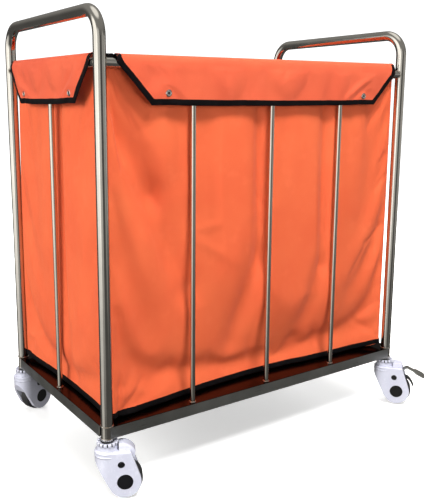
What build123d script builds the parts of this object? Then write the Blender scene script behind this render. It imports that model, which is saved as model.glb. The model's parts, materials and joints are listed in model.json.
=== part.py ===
"""Linen trolley: welded stainless frame, hung laundry bag, four swivel castors.

Millimetres, +Z up. +X runs along the long side, the push handles are at both ends.
The origin is on the floor, under the middle of the trolley's bounding box as stored.
"""
from build123d import *
from math import cos, radians, sin
import os

# ---------------------------------------------------------------- driving dimensions
POST_SPACING_X = 855.0      # between the hoops' axes
POST_SPACING_Y = 485.0      # between the two legs of a hoop
FRAME_X = -27.0             # frame centre: the braked castors stand out at the right
FRAME_Y = 0.0

HOOP_R = 12.7               # 1 inch tube
HOOP_WALL = 1.5
HOOP_BAR_Z = 990.0          # axis of the push handle
HOOP_BEND_R = 52.0
HOOP_END_Z = 123.0          # open lower end of the legs

RAIL_R = 9.5                # 3/4 inch tube that carries the bag
RAIL_WALL = 1.2
RAIL_Z = 890.0
ROD_R = 6.0                 # solid guard rods

BASE_SIZE = 25.0            # square tube
BASE_WALL = 1.5
BASE_Z = 128.0              # underside of the square tube
SHEET_T = 1.2

BAG_T = 2.0
BAG_TOP_INSET = 11.5        # from the hoop axes to the bag's outer face
BAG_FOOT_INSET_X = 27.0
BAG_FOOT_INSET_Y = 38.0
BAG_CORNER_R = 24.0
BAG_TOP_Z = RAIL_Z - 12.0

FLAP_T = 1.6
FLAP_GAP = 0.3              # between the rail and the fabric round it
FLAP_FOOT_Z = 815.0
LONG_FLAP_TOP_INSET = 33.0  # from the hoop axis to the flap's end, on the rail
LONG_FLAP_FOOT_INSET = 107.0
END_FLAP_TOP_INSET = 25.0
END_FLAP_FOOT_INSET = 90.0

SNAP_R = 7.5
SNAP_H = 2.2
SNAP_ROUND = 1.3
SNAP_Z = 834.0
SNAP_POST_R = 2.5
SNAP_SOCKET_R = 5.5
SNAP_SOCKET_H = 2.0
LONG_SNAP_INSET = 146.0     # from the hoop axis
END_SNAP_INSET = 116.0

# ---------------------------------------------------------------- castor dimensions
# Castor coordinates: swivel axis at x = 0, trail along +x, wheel's width along y.
WHEEL_R = 38.0              # 3 inch wheel
TRAIL = 35.0
TYRE_INNER_R = 28.5
TYRE_HALF_W = 14.0
TYRE_ROUND = 5.0
HUB_BOSS_R = 9.0
HUB_BOSS_HALF_W = 16.0
HUB_WEB_HALF_W = 5.0
HUB_RIM_R = 24.5
HUB_RIM_HALF_W = 12.5
AXLE_R = 4.0
RUNNING_FIT = 0.05

BODY_R = 27.0               # round front of the moulded body
BODY_HALF_W = 24.0          # flat cheeks
BODY_TOP_Z = 104.0
BODY_WAIST_Z = 82.0
BODY_REAR_X = 48.0
CHEEK_R = 34.0              # round cheek beside the wheel
FORK_SLOT_HALF_W = 16.5
FORK_SLOT_R = 40.8
FORK_FRONT_OPEN_Z = 62.0
CORE_HALF_W = 13.0
CORE_FRONT_X = -12.0
CORE_TOP_Z = 100.0
BODY_ROUND = 3.0

TURRET_R = 21.5
TURRET_TOP_Z = 120.0
TURRET_ROUND = 3.5
BEARING_R = 14.0
BEARING_Z = 108.0
STEM_R = 5.5
STEM_TOP_Z = 160.0
STEM_HEAD_R = 8.0
STEM_HEAD_BORE_R = 9.0
STEM_HEAD_Z = 102.0
STEM_HEAD_H = 5.0
STEM_COLLAR_H = 1.2
PLUG_FLANGE_H = 1.5
PLUG_FLANGE_R = 12.2
PLUG_TOP_Z = 165.0

HOOD_FRONT_X = 23.2
HOOD_REAR_X = 47.0
HOOD_HALF_W = 15.5
HOOD_TOP_Z = 115.0
HOOD_WALL = 2.5
HOOD_ROUND = 3.0
DOME_FRONT_Z = 117.0
DOME_CREST = (39.0, 117.0)
DOME_REAR = (58.0, 100.0)
DOME_FOOT = (56.0, 88.0)
DOME_ROUND = 5.0

CAP_R = 17.0
CAP_H = 3.2
CAP_ROUND = 1.4
SCREW_CAP_R = 7.5
SCREW_CAP_H = 2.4
SCREW_CAP_ROUND = 1.1
SCREW_CAP_X = 27.5
SCREW_CAP_Z = 77.0
CAP_RECESS = 1.2

BRAKE_PIN_R = 3.0
BRAKE_PIN_X = 40.0
BRAKE_PIN_Z = 90.0
BRAKE_EYE_R = 5.5
BRAKE_ARM_HALF_W = 10.0
BRAKE_T = 2.5
PEDAL_CREST = (61.0, 102.0)
PEDAL_NECK = (84.0, 91.0)
PEDAL_TIP = (104.0, 82.0)
PEDAL_PAD_HALF_W = 19.0
PEDAL_PAD_LAP = 4.0         # pad beyond the neck and the tip
PEDAL_PAD_CORNER_R = 8.0
SHOE_GAP = 6.2              # between the released shoe and the tyre
SHOE_T = 3.0
SHOE_HALF_W = 9.0
SHOE_WEB_HALF_W = SHOE_HALF_W - 2.0
SHOE_WEB_LAP = 1.0          # web sunk into the shoe
SHOE_FROM_DEG = 18.0
SHOE_TO_DEG = 56.0

# castor name: corner signs, trail direction in degrees, whether it has a brake
CASTORS = {
    "fl": (-1, -1, -26.0, False),
    "fr": (1, -1, -50.0, True),
    "rl": (-1, 1, 21.0, False),
    "rr": (1, 1, 50.0, True),
}

# ---------------------------------------------------------------- derived places
HALF_X = POST_SPACING_X / 2
HALF_Y = POST_SPACING_Y / 2
BASE_TOP_Z = BASE_Z + BASE_SIZE
SHEET_TOP_Z = BASE_TOP_Z + SHEET_T
AXLE_Z = WHEEL_R
HOOP_INNER_R = HOOP_R - HOOP_WALL


def corner(sign_x, sign_y):
    """Place of a leg's axis on the floor."""
    return FRAME_X + sign_x * HALF_X, FRAME_Y + sign_y * HALF_Y


def bar(start, end, radius, wall=0.0):
    """Round bar or tube between two points."""
    axis = Vector(*end) - Vector(*start)
    section = Circle(radius)
    if wall:
        section -= Circle(radius - wall)
    return extrude(Plane(origin=start, z_dir=axis) * section, amount=axis.length)


def block(x_range, y_range, z_range):
    """Box between two limits along each axis."""
    size = [hi - lo for lo, hi in (x_range, y_range, z_range)]
    middle = [(hi + lo) / 2 for lo, hi in (x_range, y_range, z_range)]
    return Pos(*middle) * Box(*size)


def leg_cylinders():
    """Solid cylinders in the place of the four legs, for coping what meets them."""
    legs = []
    for sign_x in (-1, 1):
        for sign_y in (-1, 1):
            x, y = corner(sign_x, sign_y)
            legs.append(bar((x, y, HOOP_END_Z), (x, y, RAIL_Z + 3 * RAIL_R), HOOP_R))
    return legs


# ---------------------------------------------------------------- welded frame
def hoop(sign_x):
    """One bent tube: two legs joined by the push handle."""
    x = FRAME_X + sign_x * HALF_X
    front, rear = FRAME_Y - HALF_Y, FRAME_Y + HALF_Y
    path = FilletPolyline(
        (x, front, HOOP_END_Z),
        (x, front, HOOP_BAR_Z),
        (x, rear, HOOP_BAR_Z),
        (x, rear, HOOP_END_Z),
        radius=HOOP_BEND_R,
    )
    ring = Circle(HOOP_R) - Circle(HOOP_INNER_R)
    return sweep(Plane(origin=path @ 0, z_dir=path % 0) * ring, path=path)


def long_top_rail(sign_y):
    """Bag rail along the long side, its ends coped to the legs."""
    y = FRAME_Y + sign_y * HALF_Y
    rail = bar((FRAME_X - HALF_X, y, RAIL_Z), (FRAME_X + HALF_X, y, RAIL_Z), RAIL_R, RAIL_WALL)
    return rail - leg_cylinders()


def end_top_rail(sign_x):
    """Bag rail across one end, coped to the legs and clear of the long rails."""
    x = FRAME_X + sign_x * HALF_X
    rail = bar((x, FRAME_Y - HALF_Y, RAIL_Z), (x, FRAME_Y + HALF_Y, RAIL_Z), RAIL_R, RAIL_WALL)
    for sign_y in (-1, 1):
        y = FRAME_Y + sign_y * HALF_Y
        rail -= bar((FRAME_X - HALF_X, y, RAIL_Z), (FRAME_X + HALF_X, y, RAIL_Z), RAIL_R)
    return rail - leg_cylinders()


def guard_rods(places, rail_start, rail_end):
    """Upright rods from the floor sheet to the underside of a bag rail."""
    rail = bar(rail_start, rail_end, RAIL_R)
    rods = [bar((x, y, SHEET_TOP_Z), (x, y, RAIL_Z), ROD_R) - rail for x, y in places]
    return Compound(children=[rod.solid() for rod in rods])


def long_side_rods(sign_y):
    """Three rods at the quarter points of a long side."""
    y = FRAME_Y + sign_y * HALF_Y
    places = [(FRAME_X + offset * HALF_X, y) for offset in (-0.5, 0.0, 0.5)]
    return guard_rods(places, (FRAME_X - HALF_X, y, RAIL_Z), (FRAME_X + HALF_X, y, RAIL_Z))


def end_rods():
    """One rod in the middle of each end."""
    rods = []
    for sign_x in (-1, 1):
        x = FRAME_X + sign_x * HALF_X
        ends = [(x, FRAME_Y + sign_y * HALF_Y, RAIL_Z) for sign_y in (-1, 1)]
        rods += guard_rods([(x, FRAME_Y)], *ends).solids()
    return Compound(children=rods)


def square_tube(x_range, y_range, along_x):
    """Square tube on the base level, hollow along its length."""
    z_range = (BASE_Z, BASE_TOP_Z)
    inner_z = (BASE_Z + BASE_WALL, BASE_TOP_Z - BASE_WALL)
    outer = block(x_range, y_range, z_range)
    if along_x:
        inner_y = (y_range[0] + BASE_WALL, y_range[1] - BASE_WALL)
        return outer - block(x_range, inner_y, inner_z)
    inner_x = (x_range[0] + BASE_WALL, x_range[1] - BASE_WALL)
    return outer - block(inner_x, y_range, inner_z)


def long_base_rail(sign_y):
    """Base tube along the long side, coped round the legs."""
    y = FRAME_Y + sign_y * HALF_Y
    half = BASE_SIZE / 2
    tube = square_tube((FRAME_X - HALF_X, FRAME_X + HALF_X), (y - half, y + half), True)
    return tube - leg_cylinders()


def end_base_rail(sign_x):
    """Base tube across one end, between the long base tubes."""
    x = FRAME_X + sign_x * HALF_X
    half = BASE_SIZE / 2
    reach = HALF_Y - half
    tube = square_tube((x - half, x + half), (FRAME_Y - reach, FRAME_Y + reach), False)
    return tube - leg_cylinders()


def floor_sheet():
    """Sheet on the base tubes, notched outside and round each leg."""
    half = BASE_SIZE / 2
    z_range = (BASE_TOP_Z, SHEET_TOP_Z)
    sheet = block(
        (FRAME_X - HALF_X - half, FRAME_X + HALF_X + half),
        (FRAME_Y - HALF_Y - half, FRAME_Y + HALF_Y + half),
        z_range,
    )
    for sign_x in (-1, 1):
        for sign_y in (-1, 1):
            x, y = corner(sign_x, sign_y)
            notch_x = sorted((x, x + sign_x * BASE_SIZE))
            notch_y = sorted((y, y + sign_y * BASE_SIZE))
            sheet -= block(notch_x, notch_y, z_range)
    return sheet - leg_cylinders()


def leg_plug(x, y):
    """Plug in a leg's open end, bored for the castor's stem."""
    plug = bar((x, y, HOOP_END_Z), (x, y, PLUG_TOP_Z), HOOP_INNER_R - RUNNING_FIT)
    plug += bar((x, y, HOOP_END_Z - PLUG_FLANGE_H), (x, y, HOOP_END_Z), PLUG_FLANGE_R)
    bore = bar((x, y, HOOP_END_Z - PLUG_FLANGE_H), (x, y, PLUG_TOP_Z), STEM_R + RUNNING_FIT)
    return plug - bore


def leg_plugs():
    """The four plugs, one in each leg."""
    plugs = [leg_plug(*corner(sx, sy)) for sx in (-1, 1) for sy in (-1, 1)]
    return Compound(children=[plug.solid() for plug in plugs])


# ---------------------------------------------------------------- bag
def bag_section(inset_x, inset_y, inward, z):
    """Rounded rectangle of the bag at one height."""
    width = 2 * (HALF_X - inset_x - inward)
    depth = 2 * (HALF_Y - inset_y - inward)
    return Pos(FRAME_X, FRAME_Y, z) * RectangleRounded(width, depth, BAG_CORNER_R - inward)


def bag_body():
    """Open-topped bag that narrows a little towards its floor."""
    foot_z = SHEET_TOP_Z
    foot = (BAG_FOOT_INSET_X, BAG_FOOT_INSET_Y)
    top = (BAG_TOP_INSET, BAG_TOP_INSET)
    outer = loft([bag_section(*foot, 0, foot_z), bag_section(*top, 0, BAG_TOP_Z)], ruled=True)
    inner = loft(
        [bag_section(*foot, BAG_T, foot_z + BAG_T), bag_section(*top, BAG_T, BAG_TOP_Z)],
        ruled=True,
    )
    return outer - inner


def flap(length, top_inset, foot_inset, snap_inset):
    """Flap over a rail that runs along x through the origin, hanging on the -y side."""
    inner_r = RAIL_R + FLAP_GAP
    outer_r = inner_r + FLAP_T
    drop = RAIL_Z - FLAP_FOOT_Z
    inside = RAIL_Z - BAG_TOP_Z
    ring = Circle(outer_r) - Circle(inner_r)
    ring &= Pos(0, outer_r / 2) * Rectangle(2 * outer_r, outer_r)
    middle_r = (inner_r + outer_r) / 2
    ring += Pos(-middle_r, -drop / 2) * Rectangle(FLAP_T, drop)
    ring += Pos(middle_r, -inside / 2) * Rectangle(FLAP_T, inside)
    half_top = length / 2 - top_inset
    half_foot = length / 2 - foot_inset
    strip = extrude(Plane.YZ * ring, amount=half_top, both=True)
    outline = Polyline(
        (-half_top, outer_r), (half_top, outer_r), (half_top, 0),
        (half_foot, -drop), (-half_foot, -drop), (-half_top, 0), close=True,
    )
    trapezoid = extrude(Plane.XZ * make_face(outline), amount=2 * outer_r, both=True)
    inner_leg = block((-half_top, half_top), (0, 2 * outer_r), (-inside, outer_r))
    piece = strip & (trapezoid + inner_leg)
    for side in (-1, 1):
        x = side * (length / 2 - snap_inset)
        piece -= bar((x, -2 * outer_r, SNAP_Z - RAIL_Z), (x, 0, SNAP_Z - RAIL_Z), SNAP_POST_R)
    return piece


def snap(x):
    """Press stud through a flap: domed cap outside, socket inside."""
    z = SNAP_Z - RAIL_Z
    face = -(RAIL_R + FLAP_GAP + FLAP_T)
    back = -(RAIL_R + FLAP_GAP)
    cap = bar((x, face, z), (x, face - SNAP_H, z), SNAP_R)
    cap = fillet(cap.edges().group_by(Axis.Y)[0], SNAP_ROUND)
    post = bar((x, face, z), (x, back, z), SNAP_POST_R)
    socket = bar((x, back, z), (x, back + SNAP_SOCKET_H, z), SNAP_SOCKET_R)
    return cap + post + socket


def side_place(side):
    """Location that turns a flap made along x to one side of the frame."""
    turns = {"front": (0, -HALF_Y, 0), "rear": (0, HALF_Y, 180),
             "left": (-HALF_X, 0, -90), "right": (HALF_X, 0, 90)}
    x, y, turn = turns[side]
    return Pos(FRAME_X + x, FRAME_Y + y, RAIL_Z) * Rot(0, 0, turn)


def flap_sizes(side):
    """Length between hoop axes and the insets of a side's flap."""
    if side in ("front", "rear"):
        return POST_SPACING_X, LONG_FLAP_TOP_INSET, LONG_FLAP_FOOT_INSET, LONG_SNAP_INSET
    return POST_SPACING_Y, END_FLAP_TOP_INSET, END_FLAP_FOOT_INSET, END_SNAP_INSET


def flap_snaps():
    """Two press studs on each of the four flaps."""
    studs = []
    for side in ("front", "rear", "left", "right"):
        length, _, _, inset = flap_sizes(side)
        for end in (-1, 1):
            studs.append(side_place(side) * snap(end * (length / 2 - inset)))
    return Compound(children=[stud.solid() for stud in studs])


# ---------------------------------------------------------------- castor, swivel axis at x = 0
def across(profile, half_width):
    """Extrude a profile drawn in x and z to both sides of the castor's middle."""
    return extrude(Plane.XZ * profile, amount=half_width, both=True)


def ring_about(x, z, radius, half_width):
    """Disc whose axis runs across the castor."""
    return across(Pos(x, z) * Circle(radius), half_width)


def castor_stem():
    """Stem held in the leg: shaft, collar under the plug, riveted head."""
    stem = bar((0, 0, STEM_HEAD_Z), (0, 0, STEM_TOP_Z), STEM_R)
    stem += bar((0, 0, STEM_HEAD_Z - STEM_HEAD_H), (0, 0, STEM_HEAD_Z), STEM_HEAD_R)
    collar_top = HOOP_END_Z - PLUG_FLANGE_H
    return stem + bar((0, 0, collar_top - STEM_COLLAR_H), (0, 0, collar_top), STEM_HEAD_R)


def castor_bearing():
    """Swivel bearing ring, seated in the turret."""
    ring = Circle(BEARING_R) - Circle(STEM_R + RUNNING_FIT)
    return Pos(0, 0, BEARING_Z) * extrude(ring, amount=TURRET_TOP_Z - BEARING_Z)


def body_side():
    """Side outline of the moulded body: round cheek, upright front, sloping back."""
    front = Edge.make_line((-BODY_R, BODY_TOP_Z), (-BODY_R, BODY_WAIST_Z))
    top = Edge.make_line((-BODY_R, BODY_TOP_Z), (BODY_REAR_X, BODY_TOP_Z))
    cheek = Pos(TRAIL, AXLE_Z) * Edge.make_circle(CHEEK_R)
    return make_hull([front, top, cheek])


def castor_body():
    """Moulded body: turret, round front and two cheeks beside the wheel."""
    side = across(body_side(), BODY_R)
    plan_edges = [Edge.make_circle(BODY_R)]
    reach = TRAIL + 2 * CHEEK_R
    plan_edges.append(Edge.make_line((TRAIL / 2, -BODY_HALF_W), (reach, -BODY_HALF_W)))
    plan_edges.append(Edge.make_line((TRAIL / 2, BODY_HALF_W), (reach, BODY_HALF_W)))
    plan = extrude(make_hull(plan_edges), amount=BODY_TOP_Z)
    lower = side & plan
    lower = fillet(lower.edges().group_by(Axis.Z)[-1], BODY_ROUND)
    turret = Pos(0, 0, BODY_TOP_Z) * extrude(Circle(TURRET_R), amount=TURRET_TOP_Z - BODY_TOP_Z)
    turret = fillet(turret.edges().group_by(Axis.Z)[-1], TURRET_ROUND)
    body = lower + turret
    body -= ring_about(TRAIL, AXLE_Z, FORK_SLOT_R, FORK_SLOT_HALF_W)
    span = (-2 * BODY_R, TRAIL + 2 * CHEEK_R)
    slot = (-FORK_SLOT_HALF_W, FORK_SLOT_HALF_W)
    core = (-CORE_HALF_W, CORE_HALF_W)
    body -= block(span, slot, (0, FORK_FRONT_OPEN_Z))
    body -= block((TRAIL, span[1]), slot, (FORK_FRONT_OPEN_Z, AXLE_Z + FORK_SLOT_R))
    body -= block((CORE_FRONT_X, span[1]), core, (FORK_FRONT_OPEN_Z, CORE_TOP_Z))
    body -= bar((0, 0, BEARING_Z), (0, 0, TURRET_TOP_Z), BEARING_R)
    body -= bar((0, 0, FORK_FRONT_OPEN_Z), (0, 0, BEARING_Z), STEM_HEAD_BORE_R)
    body -= ring_about(TRAIL, AXLE_Z, AXLE_R, BODY_R)
    for x, z, radius in ((TRAIL, AXLE_Z, CAP_R), (SCREW_CAP_X, SCREW_CAP_Z, SCREW_CAP_R)):
        for sign in (-1, 1):
            face = sign * BODY_HALF_W
            body -= bar((x, face - sign * CAP_RECESS, z), (x, 2 * face, z), radius)
    return body


def castor_hood(braked):
    """Cover on the body behind the turret: domed, or open at the back for a pedal."""
    if braked:
        outline = Polyline(
            (HOOD_FRONT_X, BODY_TOP_Z), (HOOD_FRONT_X, HOOD_TOP_Z), (HOOD_REAR_X, HOOD_TOP_Z),
            (HOOD_REAR_X, BODY_TOP_Z), close=True,
        )
        hood = across(make_face(outline), HOOD_HALF_W)
        hood = fillet(hood.edges().group_by(Axis.Z)[-1], HOOD_ROUND)
        inner = HOOD_HALF_W - HOOD_WALL
        hollow_x = (HOOD_FRONT_X + HOOD_WALL, HOOD_REAR_X)
        return hood - block(hollow_x, (-inner, inner), (BODY_TOP_Z, HOOD_TOP_Z - HOOD_WALL))
    front = Line((HOOD_FRONT_X, DOME_FOOT[1]), (HOOD_FRONT_X, DOME_FRONT_Z))
    crown = ThreePointArc(front @ 1, DOME_CREST, DOME_REAR)
    back = Polyline(DOME_REAR, DOME_FOOT, front @ 0)
    hood = across(make_face(front + crown + back), HOOD_HALF_W)
    hood = fillet(hood.edges().filter_by(GeomType.CIRCLE), DOME_ROUND)
    return hood - across(body_side(), BODY_R)


def castor_axle():
    """Wheel axle, held in both cheeks."""
    return ring_about(TRAIL, AXLE_Z, AXLE_R, BODY_HALF_W - CAP_RECESS)


def castor_caps():
    """Two axle caps and two screw caps, in the recesses of the cheeks."""
    caps = []
    for sign in (-1, 1):
        seat = sign * (BODY_HALF_W - CAP_RECESS)
        for x, z, radius, height, round_r in (
            (TRAIL, AXLE_Z, CAP_R, CAP_H, CAP_ROUND),
            (SCREW_CAP_X, SCREW_CAP_Z, SCREW_CAP_R, SCREW_CAP_H, SCREW_CAP_ROUND),
        ):
            cap = bar((x, seat, z), (x, seat + sign * height, z), radius)
            outer = cap.edges().group_by(Axis.Y)[0 if sign < 0 else -1]
            caps.append(fillet(outer, round_r))
    return Compound(children=[cap.solid() for cap in caps])


def spun(points):
    """Solid of revolution about the wheel's axle, from (radius, offset) points."""
    outline = make_face(Polyline(*points, close=True))
    solid = revolve(outline, Axis.Y)
    return Pos(TRAIL, 0, AXLE_Z) * solid


def castor_wheel():
    """Wheel core: boss on the axle, thin web, rim under the tyre."""
    bore = AXLE_R + RUNNING_FIT
    half = [
        (bore, HUB_BOSS_HALF_W), (HUB_BOSS_R, HUB_BOSS_HALF_W), (HUB_BOSS_R, HUB_WEB_HALF_W),
        (HUB_RIM_R, HUB_WEB_HALF_W), (HUB_RIM_R, HUB_RIM_HALF_W), (TYRE_INNER_R, HUB_RIM_HALF_W),
    ]
    mirrored = [(radius, -offset) for radius, offset in reversed(half)]
    return spun(half + mirrored)


def castor_tyre():
    """Tyre with rounded shoulders."""
    width = 2 * TYRE_HALF_W
    height = WHEEL_R - TYRE_INNER_R
    section = Pos(TYRE_INNER_R + height / 2, 0) * Rectangle(height, width)
    outer = section.vertices().group_by(Axis.X)[-1]
    section = fillet(outer, TYRE_ROUND)
    return Pos(TRAIL, 0, AXLE_Z) * revolve(section, Axis.Y)


def brake_pin():
    """Pin across the body that the brake lever turns on."""
    return ring_about(BRAKE_PIN_X, BRAKE_PIN_Z, BRAKE_PIN_R, CORE_HALF_W)


def strip(points, thickness, half_width):
    """Bent metal strip whose middle line follows points in x and z."""
    line = Polyline(*points)
    return across(trace(line, thickness), half_width)


def brake_pedal():
    """Bent steel lever: eye on the pin, rising arm, sloping foot pad."""
    pin = (BRAKE_PIN_X, BRAKE_PIN_Z)
    arm = strip([pin, PEDAL_CREST, PEDAL_NECK], BRAKE_T, BRAKE_ARM_HALF_W)
    pad_x, pad_z = PEDAL_TIP[0] - PEDAL_NECK[0], PEDAL_TIP[1] - PEDAL_NECK[1]
    pad_plane = Plane(
        origin=(PEDAL_NECK[0], 0, PEDAL_NECK[1]),
        x_dir=(pad_x, 0, pad_z),
        z_dir=(-pad_z, 0, pad_x),
    )
    length = Vector(pad_x, pad_z).length
    pad_length = length + 2 * PEDAL_PAD_LAP
    outline = RectangleRounded(pad_length, 2 * PEDAL_PAD_HALF_W, PEDAL_PAD_CORNER_R)
    outline = Pos(length / 2, 0) * outline
    pad = pad_plane * (Pos(0, 0, -BRAKE_T / 2) * extrude(outline, amount=BRAKE_T))
    eye = ring_about(*pin, BRAKE_EYE_R, BRAKE_ARM_HALF_W)
    lever = arm + pad + eye
    return lever - ring_about(*pin, BRAKE_PIN_R + RUNNING_FIT, CORE_HALF_W)


def brake_shoe():
    """Curved shoe over the tyre, hung from the lever's eye by a bent web."""
    inner = WHEEL_R + SHOE_GAP
    outer = inner + SHOE_T
    pin = Vector(BRAKE_PIN_X, BRAKE_PIN_Z)

    def on_arc(angle, radius):
        return (TRAIL + radius * cos(radians(angle)), AXLE_Z + radius * sin(radians(angle)))

    middle = (SHOE_FROM_DEG + SHOE_TO_DEG) / 2
    outer_arc = ThreePointArc(on_arc(SHOE_FROM_DEG, outer), on_arc(middle, outer),
                              on_arc(SHOE_TO_DEG, outer))
    inner_arc = ThreePointArc(on_arc(SHOE_TO_DEG, inner), on_arc(middle, inner),
                              on_arc(SHOE_FROM_DEG, inner))
    close_top = Line(on_arc(SHOE_TO_DEG, outer), on_arc(SHOE_TO_DEG, inner))
    close_foot = Line(on_arc(SHOE_FROM_DEG, inner), on_arc(SHOE_FROM_DEG, outer))
    shoe = across(make_face(outer_arc + close_top + inner_arc + close_foot), SHOE_HALF_W)
    root = pin + (Vector(*on_arc(middle, outer)) - pin).normalized() * BRAKE_EYE_R
    web = strip([root, on_arc(middle, outer - SHOE_WEB_LAP)], BRAKE_T, SHOE_WEB_HALF_W)
    lever_space = brake_pedal()
    return (shoe + web) - lever_space


def castor_parts(braked):
    """Every piece of one castor, by its short name."""
    parts = {
        "stem": castor_stem(),
        "bearing": castor_bearing(),
        "body": castor_body(),
        "hood": castor_hood(braked),
        "axle": castor_axle(),
        "caps": castor_caps(),
        "wheel": castor_wheel(),
        "tyre": castor_tyre(),
    }
    if braked:
        parts["brake_pin"] = brake_pin()
        parts["pedal"] = brake_pedal()
        parts["brake_shoe"] = brake_shoe()
    return parts


# ---------------------------------------------------------------- assembly
def frame_parts():
    """Welded frame, plugs, bag, flaps and press studs, by node name."""
    parts = {
        "left_hoop": hoop(-1),
        "right_hoop": hoop(1),
        "front_top_rail": long_top_rail(-1),
        "rear_top_rail": long_top_rail(1),
        "left_top_rail": end_top_rail(-1),
        "right_top_rail": end_top_rail(1),
        "front_rods": long_side_rods(-1),
        "rear_rods": long_side_rods(1),
        "end_rods": end_rods(),
        "base_front_rail": long_base_rail(-1),
        "base_rear_rail": long_base_rail(1),
        "base_left_rail": end_base_rail(-1),
        "base_right_rail": end_base_rail(1),
        "floor_sheet": floor_sheet(),
        "leg_plugs": leg_plugs(),
        "bag_body": bag_body(),
        "flap_snaps": flap_snaps(),
    }
    for side in ("front", "rear", "left", "right"):
        parts["flap_" + side] = side_place(side) * flap(*flap_sizes(side))
    return parts


def all_parts():
    """Every node of the trolley in its place."""
    parts = frame_parts()
    for name, (sign_x, sign_y, turn, braked) in CASTORS.items():
        place = Pos(*corner(sign_x, sign_y), 0) * Rot(0, 0, turn)
        for piece, shape in castor_parts(braked).items():
            parts["castor_" + name + "_" + piece] = place * shape
    return parts


def main():
    os.makedirs("parts", exist_ok=True)
    for name, shape in all_parts().items():
        export_step(shape, "parts/" + name + ".step")


main()
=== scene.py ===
"""Linen trolley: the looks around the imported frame. Metres, +Z up, +X along the long side."""
import json
import math

import bpy
import numpy as np
from mathutils import Matrix, Vector


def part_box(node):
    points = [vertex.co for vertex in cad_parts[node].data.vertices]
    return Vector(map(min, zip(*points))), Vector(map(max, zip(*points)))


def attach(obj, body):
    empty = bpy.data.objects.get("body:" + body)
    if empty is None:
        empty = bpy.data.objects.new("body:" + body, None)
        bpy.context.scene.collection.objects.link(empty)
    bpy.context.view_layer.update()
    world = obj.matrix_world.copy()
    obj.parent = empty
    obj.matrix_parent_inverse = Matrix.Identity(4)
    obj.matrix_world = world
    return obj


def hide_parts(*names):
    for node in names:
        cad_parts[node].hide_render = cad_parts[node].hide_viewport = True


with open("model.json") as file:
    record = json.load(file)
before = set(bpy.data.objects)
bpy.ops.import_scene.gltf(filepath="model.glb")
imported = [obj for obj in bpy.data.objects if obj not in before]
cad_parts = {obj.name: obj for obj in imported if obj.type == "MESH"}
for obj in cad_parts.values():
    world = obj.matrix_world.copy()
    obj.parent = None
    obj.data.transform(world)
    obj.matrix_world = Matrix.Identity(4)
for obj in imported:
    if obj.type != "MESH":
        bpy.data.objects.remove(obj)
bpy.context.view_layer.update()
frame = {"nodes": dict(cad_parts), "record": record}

NODES = frame["nodes"]
rng = np.random.default_rng(7)

# ---------------------------------------------------------------- places read from the frame
RAIL_BOX, LEFT_BOX, RIGHT_BOX = (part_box(node) for node in ("front_top_rail", "left_hoop", "right_hoop"))
SHEET_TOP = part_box("floor_sheet")[1].z
RAIL_Z = (RAIL_BOX[0].z + RAIL_BOX[1].z) / 2
RAIL_R = (RAIL_BOX[1].z - RAIL_BOX[0].z) / 2
HOOP_R = (LEFT_BOX[1].x - LEFT_BOX[0].x) / 2
LEFT_X = (LEFT_BOX[0].x + LEFT_BOX[1].x) / 2
RIGHT_X = (RIGHT_BOX[0].x + RIGHT_BOX[1].x) / 2
FRONT_Y = LEFT_BOX[0].y + HOOP_R
REAR_Y = LEFT_BOX[1].y - HOOP_R
MID_X = (LEFT_X + RIGHT_X) / 2
MID_Y = (FRONT_Y + REAR_Y) / 2
HALF_X = (RIGHT_X - LEFT_X) / 2
HALF_Y = (REAR_Y - FRONT_Y) / 2
ROD_R = (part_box("front_rods")[1].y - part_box("front_rods")[0].y) / 2
BAG_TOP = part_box("bag_body")[1].z
FLAP_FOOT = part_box("flap_front")[0].z
BASE_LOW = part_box("base_front_rail")[0].z

# The four sides in order round the trolley, each turned a quarter further than the one before.
SIDES = ("front", "right", "rear", "left")
KIND = {"front": "long", "right": "end", "rear": "long", "left": "end"}
HALF = {"front": HALF_X, "right": HALF_Y, "rear": HALF_X, "left": HALF_Y}       # half of its length
PLANE = {"front": FRONT_Y, "right": RIGHT_X, "rear": REAR_Y, "left": LEFT_X}    # where its leg axes stand

# ---------------------------------------------------------------- cloth dimensions
BASE_EDGE = 0.0013              # rounding of the square base tubes
CLOTH_T = 0.0010                # thickness of the coated cloth
THREAD_PITCH = 0.0011           # of the cloth's weave
WALL_INSET = 0.0122             # leg axes to the middle of the bag's cloth, at the top
BAG_CORNER = 0.0085             # corner radius of the bag
WALL_TOP = RAIL_Z - 0.002       # the bag's edge inside the flaps
CORNER_TOP = RAIL_Z + 0.0168    # the bag's edge behind a leg, above the bare rail ends
CORNER_REACH = (0.014, 0.008)   # how far that raised edge runs on under a flap, and the length of its slope
WALL_FOOT = SHEET_TOP + 0.0030
SIDE_COLUMNS = {"long": 74, "end": 42}
CORNER_COLUMNS = 4
WALL_ROWS = 48
FLAP_R = RAIL_R + 0.0014        # middle of the flap's cloth round the rail
FLAP_LEG = 0.010                # overlap with the bag behind the rail
FLAP_COLUMN = 0.0085            # width of a flap's grid columns
DROP_ROWS, WRAP_ROWS, LEG_ROWS = 12, 8, 3
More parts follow.
